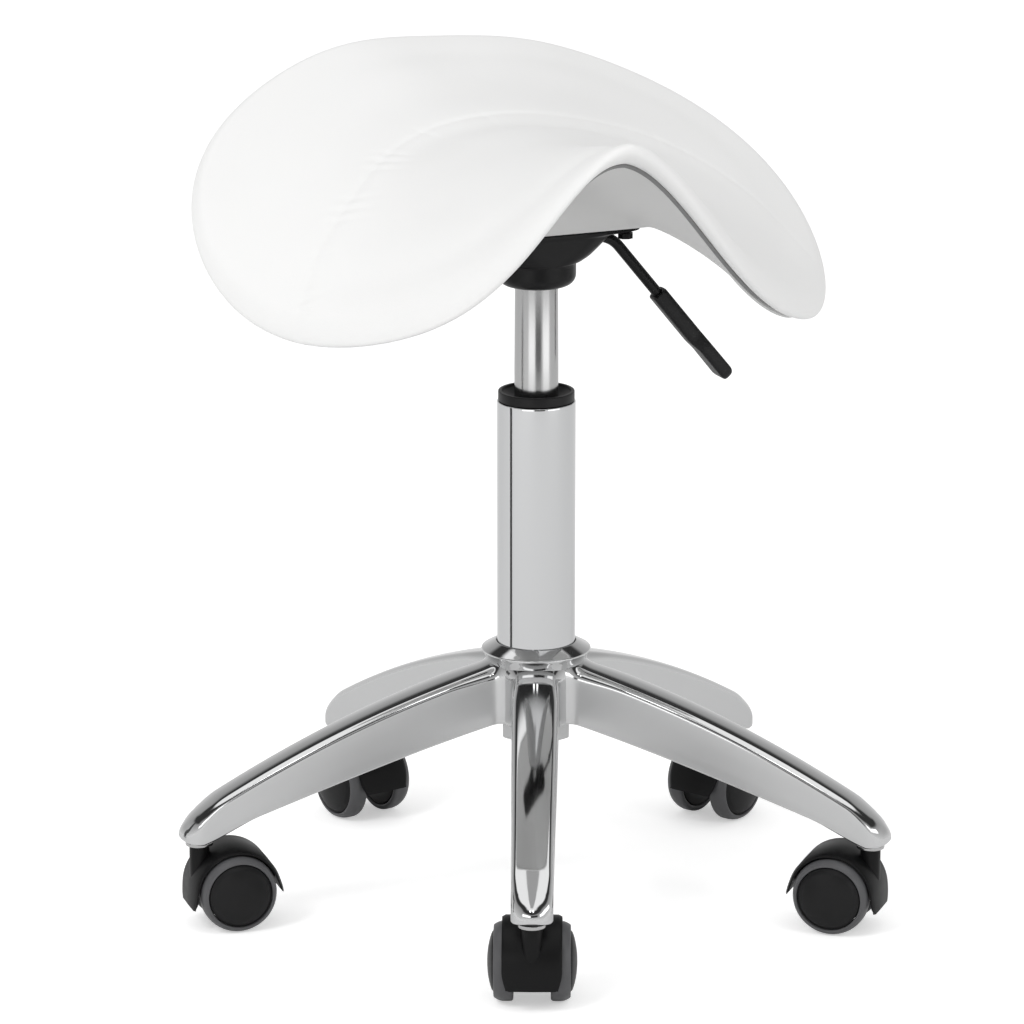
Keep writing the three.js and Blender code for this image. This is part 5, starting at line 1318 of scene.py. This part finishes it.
star_base()
column_tube()
column_bush()
gas_cylinder()
seat_mount()
lever_rod()
lever_grip()
for i in range(LEG_COUNT):
    add_caster(i + 1, FRONT_LEG + i * 2 * math.pi / LEG_COUNT)
seat_pan()
seat_cushion()
cushion_welt()

# Stage


def plane_points(width, height):
    return [(x * width / 2, y * height / 2, 0) for x, y in ((-1, -1), (1, -1), (1, 1), (-1, 1))]


def aim(place, target):
    return (Vector(target) - Vector(place)).to_track_quat("-Z", "Y")


def emission_plane(name, size, place, target, strength):
    """A white card, in metres, that only shines or darkens in reflections."""
    stood = Matrix.Scale(1 / MM, 4) @ Matrix.Translation(place) @ aim(place, target).to_matrix().to_4x4()
    card = mesh_piece(name, plane_points(*size), [(0, 1, 2, 3)], stood)
    material = bpy.data.materials.new(name)
    material.use_nodes = True
    tree = material.node_tree
    tree.nodes.clear()
    glow = add_node(tree, "Emission", {"Color": WHITE, "Strength": strength})
    add_node(tree, "OutputMaterial", {"Surface": (glow, "Emission")})
    card.data.materials.append(material)
    card.visible_camera = False
    card.visible_diffuse = False
    card.visible_shadow = False
    card.visible_transmission = False
    return card


def make_world():
    """White to the camera, plain for diffuse light, and banded by height in reflections."""
    world = bpy.data.worlds.new("studio")
    bpy.context.scene.world = world
    world.use_nodes = True
    tree = world.node_tree
    tree.nodes.clear()
    path = add_node(tree, "LightPath")
    parts = add_node(tree, "SeparateXYZ", {"Vector": (add_node(tree, "TexCoord"), "Generated")})
    bands = add_node(tree, "ValToRGB", {"Fac": (parts, "Z")})
    for height, level in WORLD_BAND_SHARES:
        stop = bands.color_ramp.elements.new(height)
        stop.color = (level, level, level, 1)
    bands.color_ramp.elements.remove(bands.color_ramp.elements[0])
    bands.color_ramp.elements.remove(bands.color_ramp.elements[-1])
    plain = (WORLD_LEVEL, WORLD_LEVEL, WORLD_LEVEL, 1)
    inputs = {"A": plain, "B": (bands, "Color"), "Factor": (path, "Is Glossy Ray")}
    mirrored = add_node(tree, "Mix", inputs, data_type="RGBA")
    rays = {0: (path, "Is Camera Ray"), 1: (path, "Is Transmission Ray")}
    through = add_node(tree, "Math", rays, operation="MAXIMUM")
    inputs = {"A": (mirrored, "Result"), "B": WHITE, "Factor": (through, "Value")}
    seen = add_node(tree, "Mix", inputs, data_type="RGBA")
    background = add_node(tree, "Background", {"Color": (seen, "Result")})
    add_node(tree, "OutputWorld", {"Surface": (background, "Background")})


def make_floor():
    points = plane_points(FLOOR_WIDTH, FLOOR_WIDTH)
    floor = mesh_piece("floor", points, [(0, 1, 2, 3)], Matrix.Identity(4))
    material, shader = new_material("floor_look", FLOOR_COLOR, FLOOR_ROUGHNESS)
    tree = material.node_tree
    path = add_node(tree, "LightPath")
    seen = add_node(tree, "Math", {0: (path, "Is Camera Ray"), 1: FLOOR_GLOW}, operation="MULTIPLY")
    inputs = {0: (path, "Is Glossy Ray"), 1: FLOOR_MIRRORED_GLOW, 2: (seen, "Value")}
    mirrored = add_node(tree, "Math", inputs, operation="MULTIPLY_ADD")
    feed(tree, WHITE, shader, "Emission Color")
    feed(tree, (mirrored, "Value"), shader, "Emission Strength")
    dull(material, 0)
    floor.data.materials.append(material)


def area_lamp(name, place, target, size, power):
    data = bpy.data.lights.new(name, "AREA")
    data.shape = "RECTANGLE"
    data.size, data.size_y = size
    data.energy = power
    lamp = bpy.data.objects.new(name, data)
    bpy.context.scene.collection.objects.link(lamp)
    lamp.location = place
    lamp.visible_glossy = False
    lamp.rotation_euler = aim(place, target).to_euler()
    return lamp


def make_camera():
    data = bpy.data.cameras.new("camera")
    data.lens = CAMERA_LENS
    data.sensor_width = CAMERA_SENSOR
    data.clip_end = CAMERA_CLIP
    camera = bpy.data.objects.new("camera", data)
    bpy.context.scene.collection.objects.link(camera)
    place = BASE_PLACE @ Matrix.Rotation(CAMERA_TURN, 4, "Z") @ Vector((0, -CAMERA_DISTANCE, CAMERA_HEIGHT))
    camera.location = place * MM
    camera.rotation_euler = (math.pi / 2 - CAMERA_PITCH, 0, CAMERA_YAW + CAMERA_TURN)
    bpy.context.scene.camera = camera


make_camera()
make_world()
make_floor()
emission_plane("line_card", (0.075, 0.3), (-0.52, -0.1, 0.15), (0, 0.02, 0.15), 0.1)
emission_plane("ceiling_card", (0.7, 3), (0, -0.4, 3), (0, -0.4, 0), 0.5)
for name, angle, width, level in LIFT_CARDS:
    turn = math.radians(angle) - math.pi / 2
    place = (LIFT_CARD_DISTANCE * math.cos(turn), LIFT_CARD_DISTANCE * math.sin(turn), LIFT_CARD_HEIGHT)
    emission_plane(name, (width, LIFT_CARD_DEPTH), place, (0, 0, LIFT_CARD_HEIGHT), level)
for side in (-1, 1):
    emission_plane("window_card", (0.24, 0.24), (side * 0.3, -1.7, 1.9), (0, 0, 0.2), 5)
area_lamp("key", (-1.6, -1.6, 2.2), (0, 0, 0.4), (0.9, 0.9), 25)
area_lamp("fill", (1.8, -1.4, 1.6), (0, 0, 0.3), (0.7, 0.9), 8)

bpy.context.scene.view_settings.view_transform = "Standard"
